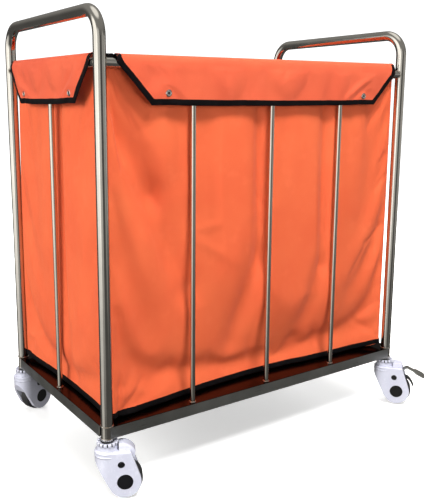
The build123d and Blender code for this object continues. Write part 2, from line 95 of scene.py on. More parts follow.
# How far each flap's fold stands above the rail, and its foot sags, at its left and right end.
FLAP_RISE = {"front": (0.006, 0.015), "right": (0.012, 0.008), "rear": (0.012, 0.008), "left": (0.012, 0.008)}
FLAP_SAG = {"front": (0.004, 0.0), "right": (0.001, 0.002), "rear": (0.0, 0.003), "left": (0.002, 0.001)}
FLAP_BELLY = 0.006              # how far the hanging flap bulges out
FLAP_ROOM = (-0.0030, 0.010)    # least and most that its designed shape stands out from a flat flap
FLAP_HOLD = (-0.0030, 0.008)    # the same for its settled shape
FLAP_INSETS = {"long": (0.033, 0.107), "end": (0.025, 0.090)}      # leg axes to its ends, at top and foot
SNAP_INSETS = {"long": 0.146, "end": 0.116}                        # leg axes to its press studs
SNAP_DROP = RAIL_Z - 0.834      # rail axis to the press studs
SNAP_HOLD = 0.009               # radius of cloth that a press stud holds
TAPE_W = 0.0105                 # visible width of the bound edges
TAPE_T = 0.0011                 # half thickness of a bound edge


# ---------------------------------------------------------------- materials
class Nodes:
    """Short calls for the nodes used here, in one node tree."""

    def __init__(self, tree):
        self.tree = tree

    def node(self, kind, sockets=None, out=0, **settings):
        """Adds a node, links or sets its inputs, and returns one output."""
        made = self.tree.nodes.new("ShaderNode" + kind)
        for key, value in settings.items():
            setattr(made, key, value)
        for key, value in (sockets or {}).items():
            self.put(made, key, value)
        return made.outputs[out]

    def put(self, node, key, value):
        """Links or sets one input of a node."""
        if isinstance(value, bpy.types.NodeSocket):
            self.tree.links.new(value, node.inputs[key])
        else:
            node.inputs[key].default_value = value

    def math(self, operation, a, b=0.0):
        return self.node("Math", {0: a, 1: b}, operation=operation)

    def range(self, value, low, high, to_low, to_high, **settings):
        """Maps a value from one range to another, clamped."""
        return self.node("MapRange", {"Value": value, "From Min": low, "From Max": high,
                                      "To Min": to_low, "To Max": to_high}, **settings)


class Shader(Nodes):
    """A node material round one Principled BSDF."""

    def __init__(self, name, colour=(0.8, 0.8, 0.8), roughness=0.5, metallic=0.0, **sockets):
        self.material = bpy.data.materials.new(name)
        self.material.use_nodes = True
        super().__init__(self.material.node_tree)
        self.surface = self.tree.nodes["Principled BSDF"]
        self.put(self.surface, "Base Color", (*colour, 1))
        self.put(self.surface, "Roughness", roughness)
        self.put(self.surface, "Metallic", metallic)
        for socket, value in sockets.items():
            self.put(self.surface, socket.replace("_", " "), value)
        self.material.diffuse_color = (*colour, 1)

    def place(self, scale=(1, 1, 1)):
        """Object coordinates in metres, stretched."""
        return self.node("Mapping", {"Vector": self.node("TexCoord", out="Object"), "Scale": scale})

    def noise(self, vector, scale, detail=2.0, rough=0.5):
        return self.node("TexNoise", {"Vector": vector, "Scale": scale, "Detail": detail, "Roughness": rough},
                         "Fac")

    def mix(self, factor, *colours):
        """Mixes two colours, each a tuple or a socket."""
        a, b = (c if isinstance(c, bpy.types.NodeSocket) else (*c, 1) for c in colours)
        return self.node("Mix", {0: factor, 6: a, 7: b}, 2, data_type="RGBA")

    def colour(self, socket):
        self.put(self.surface, "Base Color", socket)

    def roughness(self, socket):
        self.put(self.surface, "Roughness", socket)

    def emit(self, strength):
        """White light of a strength or a socket's value."""
        self.put(self.surface, "Emission Color", (1, 1, 1, 1))
        self.put(self.surface, "Emission Strength", strength)

    def bump(self, *layers):
        """Chains bump layers of (height, strength, distance)."""
        below = {}
        for height, strength, distance in layers:
            below = {"Normal": self.node("Bump", {"Height": height, "Strength": strength,
                                                  "Distance": distance, **below})}
        self.put(self.surface, "Normal", below["Normal"])


def steel(name, colour, roughness, lines, spread=0.10, dull=0.0, edge=1.0):
    """Polished stainless steel: lines is how fast the grain changes along x, y and z, per metre."""
    s = Shader(name, colour, roughness, metallic=1.0, Specular_Tint=(edge, edge, edge, 1))
    grain = s.noise(s.place(lines), 1.0, 4.0, 0.6)
    smudge = s.noise(s.place(), 14.0, 3.0, 0.55)
    fine = s.noise(s.place(), 120.0, 2.0, 0.5)
    darker = tuple(c * (0.86 - dull) for c in colour)
    s.colour(s.mix(s.range(smudge, 0.3, 0.75, 0.0, 1.0), darker, colour))
    s.roughness(s.math("ADD", s.range(grain, 0.25, 0.75, roughness - spread / 2, roughness + spread / 2),
                       s.range(smudge, 0.45, 0.8, 0.0, spread * 0.7)))
    s.bump((grain, 0.10, 0.0003), (fine, 0.04, 0.0002))
    return s.material


def weld_metal():
    """Bright bead with straw and blue heat tint round it."""
    s = Shader("weld_bead", (0.6, 0.58, 0.54), 0.3, metallic=1.0)
    ripple = s.noise(s.place(), 700.0, 2.0, 0.6)
    patch = s.noise(s.place(), 160.0, 2.0, 0.5)
    tint = s.mix(s.range(patch, 0.42, 0.62, 0.0, 1.0), (0.66, 0.64, 0.60), (0.40, 0.32, 0.24))
    s.colour(s.mix(s.range(patch, 0.64, 0.74, 0.0, 1.0), tint, (0.22, 0.25, 0.34)))
    s.roughness(s.range(ripple, 0.3, 0.7, 0.24, 0.46))
    s.bump((ripple, 0.5, 0.0006))
    return s.material


def weave(s):
    """Height of a plain weave drawn in the cut's own coordinates, and those coordinates."""
    cut = s.node("UVMap", uv_map="cut")
    across, along = (s.math("SINE", s.math("MULTIPLY", s.node("SeparateXYZ", {0: cut}, axis),
                                           math.pi / THREAD_PITCH)) for axis in "XY")
    over = s.math("MULTIPLY", across, along)
    warp = s.math("MULTIPLY", s.math("ABSOLUTE", across), s.math("GREATER_THAN", over, 0.0))
    weft = s.math("MULTIPLY", s.math("ABSOLUTE", along), s.math("LESS_THAN", over, 0.0))
    return s.math("ADD", warp, weft), cut


def cloth_material(name, colour, deep):
    """Coated plain weave: thread relief with painted shade between the threads, slubs, soft mottling, creases and
    rubbed dust.
    """
    s = Shader(name, colour, 0.62, Sheen_Weight=0.06, Sheen_Roughness=0.4, Specular_IOR_Level=0.22)
    threads, cut = weave(s)
    slub = s.noise(s.node("Mapping", {"Vector": cut, "Scale": (40, 900, 1)}), 1.0, 2.0)
    mottle = s.noise(s.place(), 7.0, 3.0, 0.55)
    crease = s.noise(s.node("Mapping", {"Vector": s.place(), "Scale": (1, 1, 0.45)}), 46.0, 3.0, 0.55)
    base = s.mix(s.range(mottle, 0.35, 0.7, 0.0, 1.0), deep, colour)
    worn = tuple(min(1.0, c * 1.12 + 0.02) for c in colour)
    base = s.mix(s.range(s.noise(s.place(), 23.0, 4.0, 0.6), 0.58, 0.8, 0.0, 0.35), base, worn)
    # Painted shade: the colour darkens towards dark where the threads dip, between them.
    dark = tuple(c * 0.72 for c in deep)
    s.colour(s.mix(s.range(threads, 0.0, 0.45, 0.28, 0.0), base, dark))
    s.roughness(s.math("ADD", s.range(crease, 0.3, 0.7, 0.52, 0.66), s.range(threads, 0.0, 1.0, 0.08, 0.0)))
    s.bump((crease, 0.30, 0.0022), (slub, 0.12, 0.0002), (threads, 0.45, 0.00022))
    return s.material


def tape_material():
    """Woven black binding tape with a ribbed face and faint grey wear."""
    black = (0.0036, 0.0029, 0.0033)
    s = Shader("edge_tape", black, 0.8, Sheen_Weight=0.01, Sheen_Roughness=0.4, Specular_IOR_Level=0.09)
    rib = s.noise(s.place((900, 900, 900)), 1.0, 2.0)
    broad = s.noise(s.place(), 60.0, 3.0)
    s.colour(s.mix(s.range(broad, 0.45, 0.8, 0.0, 0.6), black, (0.0095, 0.0080, 0.0086)))
    s.roughness(s.range(broad, 0.3, 0.7, 0.5, 0.72))
    s.bump((rib, 0.35, 0.0002), (broad, 0.2, 0.0008))
    return s.material


def thread_material(name, colour):
    """Twisted sewing thread, with painted shade in the dips of its twist."""
    s = Shader(name, colour, 0.45)
    twist = s.noise(s.place((1500, 1500, 1500)), 1.0, 1.0)
    # Painted shade: the thread is darker where its twist bump dips.
    s.colour(s.mix(s.range(twist, 0.35, 0.65, 0.0, 1.0), tuple(c * 0.6 for c in colour), colour))
    s.bump((twist, 0.4, 0.0001))
    return s.material


def moulded(name, colour, roughness, shade, coat=0.0):
    """Moulded plastic: fine skin texture, faint flow shading, scuffs in the gloss."""
    s = Shader(name, colour, roughness, Coat_Weight=coat, Coat_Roughness=0.08)
    skin = s.noise(s.place(), 420.0, 3.0, 0.55)
    flow = s.noise(s.place(), 26.0, 3.0, 0.5)
    scuff = s.noise(s.place((260, 60, 160)), 1.0, 4.0, 0.65)
    s.colour(s.mix(s.range(flow, 0.35, 0.75, 0.0, 1.0), shade, colour))
    s.roughness(s.math("ADD", s.range(flow, 0.3, 0.7, roughness - 0.04, roughness + 0.05),
                       s.range(scuff, 0.55, 0.8, 0.0, 0.16)))
    s.bump((skin, 0.14, 0.00012), (scuff, 0.06, 0.00015))
    return s.material


def rubber():
    """Tyre rubber: dusty rolling face, fine pits."""
    s = Shader("tyre_rubber", (0.018, 0.018, 0.020), 0.62)
    pits = s.noise(s.place(), 900.0, 3.0, 0.6)
    dust = s.noise(s.place(), 70.0, 4.0, 0.6)
    s.colour(s.mix(s.range(dust, 0.45, 0.85, 0.0, 0.8), (0.014, 0.014, 0.016), (0.075, 0.072, 0.070)))
    s.roughness(s.range(dust, 0.3, 0.8, 0.5, 0.82))
    s.bump((pits, 0.3, 0.0002))
    return s.material


TUBE, BASE = (0.66, 0.645, 0.61), (0.50, 0.51, 0.50)
LOOK = {
    "leg": steel("leg_steel", TUBE, 0.12, (60, 60, 900), 0.07),
    "rail_x": steel("rail_steel", TUBE, 0.14, (900, 60, 60), 0.07),
    "rail_y": steel("end_rail_steel", TUBE, 0.14, (60, 900, 60), 0.07),
    "rod": steel("rod_steel", (0.66, 0.63, 0.57), 0.12, (80, 80, 1100), 0.07),
    "base_x": steel("base_steel", BASE, 0.32, (22, 500, 700), 0.14, 0.08),
    "base_y": steel("end_base_steel", BASE, 0.32, (500, 22, 700), 0.14, 0.08),
    # Painted shade and reflection: the floor sheet's steel gets a colour far darker than steel and tinted red,
    # standing in for the shade on it and its dim reflection of the bag.
    "sheet": steel("sheet_steel_painted_shade", (0.082, 0.064, 0.062), 0.17, (18, 260, 1), 0.08, edge=0.5),
    "castor_steel": steel("castor_steel", (0.52, 0.52, 0.51), 0.32, (300, 300, 300)),
    "pedal": steel("pedal_steel", (0.66, 0.67, 0.65), 0.42, (260, 260, 90), 0.14, 0.05),
    "shoe": moulded("shoe_paint", (0.022, 0.022, 0.024), 0.36, (0.012, 0.012, 0.013)),
    "stud": steel("stud_metal", (0.80, 0.79, 0.76), 0.16, (500, 500, 500), 0.08),
    "weld": weld_metal(),
    "bag": cloth_material("bag_cloth", (0.80, 0.150, 0.056), (0.75, 0.124, 0.047)),
    # Painted shade: the flaps' cloth is a darker, redder copy of the bag's cloth, for shade on the same fabric.
    "flap": cloth_material("flap_cloth", (0.70, 0.122, 0.055), (0.64, 0.100, 0.047)),
    "tape": tape_material(),
    "tape_thread": thread_material("tape_thread", (0.05, 0.048, 0.05)),
    "cloth_thread": thread_material("cloth_thread", (0.62, 0.10, 0.03)),
    "white": moulded("castor_white", (0.62, 0.63, 0.73), 0.24, (0.57, 0.58, 0.69), coat=0.3),
    "wheel": moulded("wheel_white", (0.56, 0.57, 0.63), 0.36, (0.50, 0.51, 0.56)),
    "black": moulded("black_plastic", (0.005, 0.005, 0.007), 0.40, (0.003, 0.003, 0.004)),
    "rubber": rubber(),
}
# Looks of the CAD nodes that stay in view. The second table is for a castor's pieces.
NODE_LOOK = {
    "left_hoop": "leg", "right_hoop": "leg", "front_top_rail": "rail_x", "rear_top_rail": "rail_x",
    "left_top_rail": "rail_y", "right_top_rail": "rail_y", "front_rods": "rod", "rear_rods": "rod",
    "end_rods": "rod", "base_front_rail": "base_x", "base_rear_rail": "base_x",
    "base_left_rail": "base_y", "base_right_rail": "base_y", "floor_sheet": "sheet",
    "leg_plugs": "black", "flap_snaps": "stud",
}
CASTOR_LOOK = {
    "stem": "castor_steel", "bearing": "castor_steel", "body": "white", "hood": "white",
    "axle": "castor_steel", "caps": "black", "wheel": "wheel", "tyre": "rubber",
    "brake_pin": "castor_steel", "pedal": "pedal", "brake_shoe": "shoe",
}


def dress_frame():
    """Gives the carried-over CAD nodes their materials, and rounds the base tubes' edges."""
    for name, node in NODES.items():
        look = CASTOR_LOOK[name.split("_", 2)[2]] if name.startswith("castor_") else NODE_LOOK.get(name)
        if look:
            node.data.materials.clear()
            node.data.materials.append(LOOK[look])
        if name.startswith("base_"):
            edge = node.modifiers.new("rounded edges", "BEVEL")
            edge.width, edge.segments = BASE_EDGE, 3
            edge.limit_method = "ANGLE"


# ---------------------------------------------------------------- meshes
def turns(count, way=1):
    """Cosine and sine at equal steps round a circle."""
    return [(math.cos(a), math.sin(a)) for a in (way * math.tau * k / count for k in range(count))]


def mesh_piece(name, points, faces, look, body="frame", cut=None):
    """A mesh object that rides on a body; cut holds a flat (u, v) for each point."""
    mesh = bpy.data.meshes.new(name)
    mesh.from_pydata([tuple(p) for p in points], [], [tuple(f) for f in faces])
    mesh.materials.append(LOOK[look])
    if cut is not None:
        layer = mesh.uv_layers.new(name="cut")
        corners = np.zeros(len(mesh.loops), np.int32)
        mesh.loops.foreach_get("vertex_index", corners)
        layer.data.foreach_set("uv", np.asarray(cut, np.float32)[corners].ravel())
    mesh.polygons.foreach_set("use_smooth", [True] * len(mesh.polygons))
    mesh.validate()
    mesh.update()
    obj = bpy.data.objects.new(name, mesh)
    bpy.context.scene.collection.objects.link(obj)
    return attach(obj, body)


def grid_faces(rows, columns, closed):
    """Quads of a grid of points; closed joins the last column to the first."""
    faces = []
    for r in range(rows - 1):
        for c in range(columns if closed else columns - 1):
            d = (c + 1) % columns
            faces.append((r * columns + c, r * columns + d, (r + 1) * columns + d, (r + 1) * columns + c))
    return faces


def tubes_piece(name, tubes, look, closed=True, body="frame"):
    """A piece of tubes, each a list of rings of points along its path; an open one gets end caps."""
    points, faces = [], []
    for rings in tubes:
        start, count, around = len(points), len(rings), len(rings[0])
        points += [p for ring in rings for p in ring]
        for i in range(count if closed else count - 1):
            j = (i + 1) % count
            for k in range(around):
                m = (k + 1) % around
                faces.append((start + i * around + k, start + i * around + m,
                              start + j * around + m, start + j * around + k))
        if not closed:
            faces.append(tuple(start + k for k in range(around - 1, -1, -1)))
            faces.append(tuple(start + (count - 1) * around + k for k in range(around)))
    return mesh_piece(name, points, faces, look, body)


def finer(a, closed):
    """Twice as many samples along axis 1, by a smooth four-point rule."""
    if closed:
        middle = (9 * (a + np.roll(a, -1, 1)) - np.roll(a, 1, 1) - np.roll(a, -2, 1)) / 16
    else:
        wide = np.concatenate([2 * a[:, :1] - a[:, 1:2], a, 2 * a[:, -1:] - a[:, -2:-1]], axis=1)
        middle = (9 * (wide[:, 1:-2] + wide[:, 2:-1]) - wide[:, :-3] - wide[:, 3:]) / 16
    out = np.empty((a.shape[0], a.shape[1] + middle.shape[1], *a.shape[2:]))
    out[:, 0::2], out[:, 1::2] = a, middle
    return out


class Cloth:
    """A grid of cloth: points[row, column] and the flat cut's coordinates at each."""

    def __init__(self, points, cut, closed):
        self.points, self.cut, self.closed = points, cut, closed

    def refined(self):
        """The same cloth with twice the rows and columns."""
        points, cut = finer(self.points, self.closed), self.cut
        if self.closed:
            turn = 2 * cut[:, -1:] - cut[:, -2:-1]
            cut = finer(np.concatenate([cut, turn], axis=1), False)[:, :-1]
        else:
            cut = finer(cut, False)
        swap = (1, 0, 2)
        points, cut = (finer(a.transpose(swap), False).transpose(swap) for a in (points, cut))
        return Cloth(points, cut, self.closed)

    def prepare(self):
        """Keeps the normals for at()."""
        if self.closed:
            across = np.roll(self.points, -1, 1) - np.roll(self.points, 1, 1)
        else:
            across = np.gradient(self.points, axis=1)
        n = np.cross(across, np.gradient(self.points, axis=0))
        self.face = n / np.maximum(np.linalg.norm(n, axis=2, keepdims=True), 1e-12)
        return self

    def at(self, row, column, lift=0.0):
        """Point on the cloth at a fractional row and column, lifted off its face."""
        rows, columns = self.points.shape[:2]
        row = min(max(row, 0.0), rows - 1.001)
        if not self.closed:
            column = min(max(column, 0.0), columns - 1.001)
        r, c = int(row), int(math.floor(column))
        d = (c + 1) % columns if self.closed else c + 1
        u, v = column - c, row - r
        c %= columns
        found = np.zeros(3)
        facing = np.zeros(3)
        for i, j, w in ((r, c, (1 - u) * (1 - v)), (r, d, u * (1 - v)),
                        (r + 1, c, (1 - u) * v), (r + 1, d, u * v)):
            found += w * self.points[i, j]
            facing += w * self.face[i, j]
        return found + facing / max(np.linalg.norm(facing), 1e-12) * lift

    def piece(self, name, look):
        """The cloth as a mesh of its real thickness."""
        rows, columns = self.points.shape[:2]
        faces = grid_faces(rows, columns, self.closed)
        obj = mesh_piece(name, self.points.reshape(-1, 3), faces, look, cut=self.cut.reshape(-1, 2))
        thick = obj.modifiers.new("cloth_thickness", "SOLIDIFY")
        thick.thickness = CLOTH_T
        thick.offset = 0.0
        return obj


def simulate(points, closed, pins, frames, tension, bending, shrink):
    """Blender's cloth solver on a grid of points: gravity, held where pins is 1. Returns the settled grid."""
    mesh = bpy.data.meshes.new("settling")
    mesh.from_pydata([tuple(p) for p in points.reshape(-1, 3)], [], grid_faces(*points.shape[:2], closed))
    obj = bpy.data.objects.new("settling", mesh)
    scene = bpy.context.scene
    scene.collection.objects.link(obj)
    group = obj.vertex_groups.new(name="pins")
    for level in np.unique(pins):
        if level > 0:
            group.add([int(i) for i in np.nonzero(pins.ravel() == level)[0]], float(level), "REPLACE")
    cloth = obj.modifiers.new("settle", "CLOTH")
    s = cloth.settings
    s.quality = 7
    s.mass = 0.25
    s.air_damping = 2.0
    s.tension_stiffness = s.compression_stiffness = tension
    s.shear_stiffness = tension * 0.4
    s.bending_stiffness = bending
    s.tension_damping = s.compression_damping = s.shear_damping = 12
    s.bending_damping = 1.0
    s.shrink_min = shrink
    s.vertex_group_mass = "pins"
    s.pin_stiffness = 1.0
    cloth.collision_settings.use_collision = False
    cloth.point_cache.frame_start, cloth.point_cache.frame_end = 1, frames
    for number in range(1, frames + 1):
        scene.frame_set(number)
    settled = obj.evaluated_get(bpy.context.evaluated_depsgraph_get())
    co = np.zeros(points.size, np.float32)
    settled.data.vertices.foreach_get("co", co)
    scene.frame_set(1)
    bpy.data.objects.remove(obj)
    bpy.data.meshes.remove(mesh)
    return co.reshape(points.shape).astype(float)


def fold_depth(across, height, width, tall, folds):
    """Sum of soft folds at points of a panel: each fold is (u, v) and (u, v) of its ends in percent of
    the panel's width and height, then its half width and depth in mm, positive inwards."""
    total = np.zeros_like(across)
    for *ends, half, depth in folds:
        u0, v0, u1, v1 = (share / 100 for share in ends)
        ax, az, bx, bz = u0 * width, v0 * tall, u1 * width, v1 * tall
        px, pz = across * width - ax, height * tall - az
        dx, dz = bx - ax, bz - az
        t = np.clip((px * dx + pz * dz) / (dx * dx + dz * dz), 0, 1)
        gap = np.hypot(px - t * dx, pz - t * dz)
        fade = 0.55 + 0.45 * np.sin(np.pi * np.clip(t, 0.08, 0.92))
        total += depth / 1000 * np.exp(-((gap / (half / 1000)) ** 2)) * fade
    return total


# ---------------------------------------------------------------- bag
# Folds of each wall, as fold_depth() reads them. u runs from left to right seen from outside.
BROAD_FOLDS = {
    "front": [(0, 88, 13, 64, 36, 18), (13, 64, 23, 36, 42, 19), (14, 88, 22, 66, 40, -5),
              (4, 22, 10, 50, 45, -8), (47.5, 90, 48.5, 40, 20, 11), (48, 42, 40, 15, 32, 13),
              (35, 84, 36, 50, 60, -8), (72.5, 88, 73, 36, 20, 10), (72, 34, 65, 12, 32, 11),
              (61, 84, 62, 45, 60, -7), (87, 88, 87, 55, 50, -5), (99, 44, 86, 26, 30, 6),
              (2, 0, 19, 10, 18, 6)],
    "left": [(52, 92, 57, 5, 18, 11), (66, 80, 70, 10, 50, -7), (30, 80, 28, 30, 60, -6),
             (5, 25, 20, 10, 30, 6), (90, 70, 86, 30, 35, 5)],
    "rear": [(10, 88, 24, 40, 50, 10), (38, 90, 37, 10, 30, 10), (50, 80, 52, 30, 60, -8),
             (66, 88, 62, 10, 28, 10), (88, 80, 78, 30, 50, 9), (76, 86, 75, 56, 50, -7)],
    "right": [(46, 90, 42, 6, 20, 10), (28, 80, 26, 20, 55, -7), (70, 80, 74, 30, 55, -6),
              (90, 30, 76, 10, 30, 7)],
}
FINE_FOLDS = {
    "front": [(0, 95, 9, 82, 8, 6), (0, 98, 14, 90, 8, 5), (0, 92, 5, 74, 8, 4.5), (0, 94, 12, 79, 10, -3.5),
              (1.5, 0, 10, 8.5, 8, 4.5), (1.2, 0, 2.2, 12, 5, 5), (2, 1, 16, 5, 8, 3),
              (8, 66, 16, 55, 5, 1.4), (10, 64, 17, 54, 6, -1.2), (26, 53, 46, 56, 9, -2.4), (50, 57, 67, 62, 9, -2),
              (26, 50, 40, 41, 10, -2.6), (55, 47, 61, 43, 6, 1.6), (53, 30, 70, 26, 12, -2.6),
              (100, 45, 91, 41, 6, 4.5), (92, 41, 85, 30, 8, 3), (100, 63, 95, 60, 5, 3.5),
              (100, 70, 96, 69, 5, 3), (100, 3, 91, 11, 7, 4), (100, 16, 93, 13, 6, 3),
              (100, 94, 90, 82, 9, 4), (47, 62, 50, 59, 6, 3.5), (50, 3, 46, 14, 10, 3),
              (75, 2, 72, 13, 10, 3)],
    "left": [(100, 94, 82, 84, 9, 4.5), (100, 80, 93, 77, 7, 4), (0, 92, 14, 82, 9, 4),
             (98, 2, 86, 14, 10, 4.5), (60, 3, 62, 22, 9, 4.5), (2, 2, 14, 12, 10, 4)],
    "rear": [(0, 95, 10, 83, 9, 4.5), (100, 95, 90, 84, 9, 4.5), (2, 2, 13, 14, 11, 5),
             (98, 2, 87, 13, 11, 5), (35, 2, 40, 18, 10, 3), (64, 2, 60, 16, 10, 3)],
    "right": [(0, 95, 18, 83, 9, 4.5), (100, 95, 84, 84, 9, 4.5), (2, 2, 18, 14, 11, 5),
              (98, 2, 84, 12, 11, 5)],
}
# Shape of each wall, at places along it from its left end seen from outside. Insets are from the leg
# axes in mm. From the rail down to the bend the wall hangs flat; below it the wall leans inwards as
# far as the tuck, and then comes out again to its foot.
WALL_SHAPE = {
    "front": {"places": (0.0, 0.13, 0.25, 0.43, 0.60, 0.75, 0.90, 1.0),
              "foot": (13, 27, 39, 50, 50, 40, 35, 12),
              "tuck": (14, 31, 47, 61, 61, 49, 41, 12.5),
              "bend": (0.85, 0.62, 0.50, 0.38, 0.27, 0.30, 0.37, 0.44),
              "at_bend": (12.5, 13.5, 16, 18, 18, 16, 14, 12.2)},
    "right": {"places": (0.0, 0.25, 0.5, 0.75, 1.0),
              "foot": (10, 22, 27, 24, 18), "tuck": (11, 25, 31, 27, 19),
              "bend": (0.5, 0.45, 0.40, 0.45, 0.5), "at_bend": (11.5, 14.5, 16, 15, 13)},
    "rear": {"places": (0.0, 0.25, 0.5, 0.75, 1.0),
             "foot": (20, 38, 46, 36, 7.5), "tuck": (21, 45, 55, 42, 7.5),
             "bend": (0.6, 0.45, 0.35, 0.45, 0.5), "at_bend": (13, 16, 18, 15, 7.5)},
    "left": {"places": (0.0, 0.25, 0.5, 0.75, 1.0),
             "foot": (7.5, 19, 23, 22, 16), "tuck": (7.5, 21, 25, 24, 17),
             "bend": (0.5, 0.5, 0.5, 0.5, 0.5), "at_bend": (7.5, 12, 14.5, 14, 13)},
}
TUCK_SHARE = 0.085              # share of the bag's height at which its walls lean in furthest
CROWD = 0.35                    # how much closer the columns stand towards the corners
FOOT_FADE, TOP_FADE = 0.10, 0.12    # shares of the height over which the broad folds set in
CORNER_FADE = 0.035             # share of the width over which they set in
WALL_CLOTH = {"frames": 30, "tension": 20.0, "bending": 9.0, "shrink": -0.005}
ROOM_OUT = (0.0035, 0.016)      # how far a settled wall may move out, at the top and added at the foot
ROOM_IN = 0.030                 # how far it may move in
PRESSED = 0.45                  # share of the broad folds pressed in again after the cloth has settled
ROD_CLEAR = ROD_R + 0.0011      # least distance from the rods' axes to the middle of the cloth
ROD_EASE = 0.0004               # softness of that limit
# How far each corner of the bag's foot is lifted off the sheet, by the side that ends there.
CORNER_LIFT = {"front": 0.009, "right": 0.003, "rear": 0.007, "left": 0.001}
LIFT_REACH = 0.055              # length of wall over which that lift fades out
WAVE, WAVE_SHARE = 0.0016, 0.05     # height of the foot's waves, and share of the wall that they reach
BASE_SHARES = (1.0, 0.985, 0.96, 0.92, 0.86, 0.78, 0.68, 0.56, 0.44, 0.32, 0.2, 0.1, 0.02)
# Section of the foot's binding: (height up the wall, distance off its face).
FOOT_SECTION = [(0.0105, 0.0016), (0.0090, 0.0021), (0.0040, 0.0022), (-0.0006, 0.0026), (-0.0020, 0.0018),
                (-0.0024, 0.0), (-0.0018, -0.0016), (0.0004, -0.0020), (0.0060, -0.0016), (0.0105, -0.0014)]
# Section of a folded tape: (distance in from the cloth's edge, height off its middle).
TAPE_SECTION = [(TAPE_W, 0.9 * TAPE_T), (TAPE_W - 0.0012, 1.12 * TAPE_T), (0.0050, 1.0 * TAPE_T),
                (0.0006, 1.15 * TAPE_T), (-0.0007, 0.6 * TAPE_T), (-0.0010, 0.0),
                (-0.0007, -0.6 * TAPE_T), (0.0006, -1.0 * TAPE_T), (0.0050, -0.95 * TAPE_T),
                (TAPE_W - 0.0012, -1.0 * TAPE_T), (TAPE_W, -0.7 * TAPE_T), (TAPE_W, 0.0)]
STITCH_W, STITCH_H = 0.00042, 0.00030
# A stitch's rings, from end to end: (place along it, share of its width, rise in heights).
STITCH_RINGS = ((0.0, 0.45, -0.6), (0.18, 0.9, 0.7), (0.82, 0.9, 0.7), (1.0, 0.45, -0.6))
SEAM_START, SEAM_PITCH, SEAM_STITCH = 0.016, 0.0036, 0.0026


def wall_columns():
    """(side, fraction) of each column of the bag's wall; corners count as fractions past 1."""
    found = []
    for side in SIDES:
        count = SIDE_COLUMNS[KIND[side]]
        even = [k / count for k in range(count + 1)]
        found += [(side, t - CROWD * math.sin(math.tau * t) / math.tau) for t in even]
        found += [(side, 1 + k / CORNER_COLUMNS) for k in range(1, CORNER_COLUMNS)]
    return found


def smooth_curve(x, places, values):
    """Value at x of a smooth curve through a few places."""
    x = min(max(x, places[0]), places[-1])
    slopes = []
    for i in range(len(places)):
        before, after = max(i - 1, 0), min(i + 1, len(places) - 1)
        slopes.append((values[after] - values[before]) / (places[after] - places[before]))
    i = min(sum(1 for p in places[1:-1] if p <= x), len(places) - 2)
    span = places[i + 1] - places[i]
    t = (x - places[i]) / span
    return ((2 * t ** 3 - 3 * t ** 2 + 1) * values[i] + (t ** 3 - 2 * t ** 2 + t) * span * slopes[i]
            + (3 * t ** 2 - 2 * t ** 3) * values[i + 1] + (t ** 3 - t ** 2) * span * slopes[i + 1])


def wall_inset(side, fraction, share):
    """Inset of a wall's cloth at a place and a share of the bag's height, in metres."""
    shape = WALL_SHAPE[side]
    foot, tuck, bend, at_bend = (smooth_curve(fraction, shape["places"], shape[key])
                                 for key in ("foot", "tuck", "bend", "at_bend"))
    return smooth_curve(share, (0.0, TUCK_SHARE, bend, 1.0), (foot, tuck, at_bend, 1000 * WALL_INSET)) / 1000


def wall_point(side, fraction, share):
    """Plan position of the wall's cloth, from the bag's middle, and its outward direction."""
    number = SIDES.index(side)
    turn = Matrix.Rotation(number * math.pi / 2, 3, "Z")
    before, after = SIDES[number - 1], SIDES[(number + 1) % 4]
    along, out = HALF[side], HALF[after]
    left = -along + wall_inset(before, 1.0, share) + BAG_CORNER
    right = along - wall_inset(after, 0.0, share) - BAG_CORNER
    if fraction <= 1:
        spot = Vector((left + (right - left) * fraction, wall_inset(side, fraction, share) - out, 0))
        normal = Vector((0, -1, 0))
    else:
        a = (fraction - 1) * math.pi / 2
        normal = Vector((math.sin(a), -math.cos(a), 0))
        spot = Vector((right, wall_inset(side, 1.0, share) - out + BAG_CORNER, 0)) + BAG_CORNER * normal
    return turn @ spot, turn @ normal


def foot_lift(side, fraction):
    """Height of the bag's foot above its rest near a lifted corner."""
    if fraction > 1:
        return CORNER_LIFT[side]
    width = 2 * HALF[side]
    before = SIDES[SIDES.index(side) - 1]
    return (CORNER_LIFT[side] * math.exp(-((1 - fraction) * width / LIFT_REACH) ** 2)
            + CORNER_LIFT[before] * math.exp(-(fraction * width / LIFT_REACH) ** 2))


def corner_rise(side, fraction):
    """1 behind a leg, where the bag's edge stands above the rail, 0 under the flaps."""
    if fraction > 1:
        return 1.0
    run, slope = CORNER_REACH
    inset = WALL_INSET + BAG_CORNER + min(fraction, 1 - fraction) * 2 * (HALF[side] - WALL_INSET - BAG_CORNER)
    return min(1.0, max(0.0, (FLAP_INSETS[KIND[side]][0] + run - inset) / slope))


def folds_on(columns, heights, table):
    """Inward depth of a table of folds at every row and column."""
    depth = np.zeros((len(heights), len(columns)))
    for side in SIDES:
        chosen = [i for i, (s, f) in enumerate(columns) if s == side and f <= 1]
        u, v = np.meshgrid([columns[i][1] for i in chosen], heights)
        width = 2 * (HALF[side] - WALL_INSET)
        depth[:, chosen] = fold_depth(u, v, width, BAG_TOP - SHEET_TOP, table[side])
    return depth


def keep_behind_rods(points, columns):
    """Eases the walls back wherever they would bulge out into the rods."""
    for c, (side, fraction) in enumerate(columns):
        if fraction > 1:
            continue
        axis, sign = {"front": (1, -1), "right": (0, 1), "rear": (1, 1), "left": (0, -1)}[side]
        over = (PLANE[side] - points[:, c, axis]) * sign - ROD_CLEAR
        points[:, c, axis] = PLANE[side] - sign * (ROD_CLEAR + ROD_EASE * np.logaddexp(0, over / ROD_EASE))


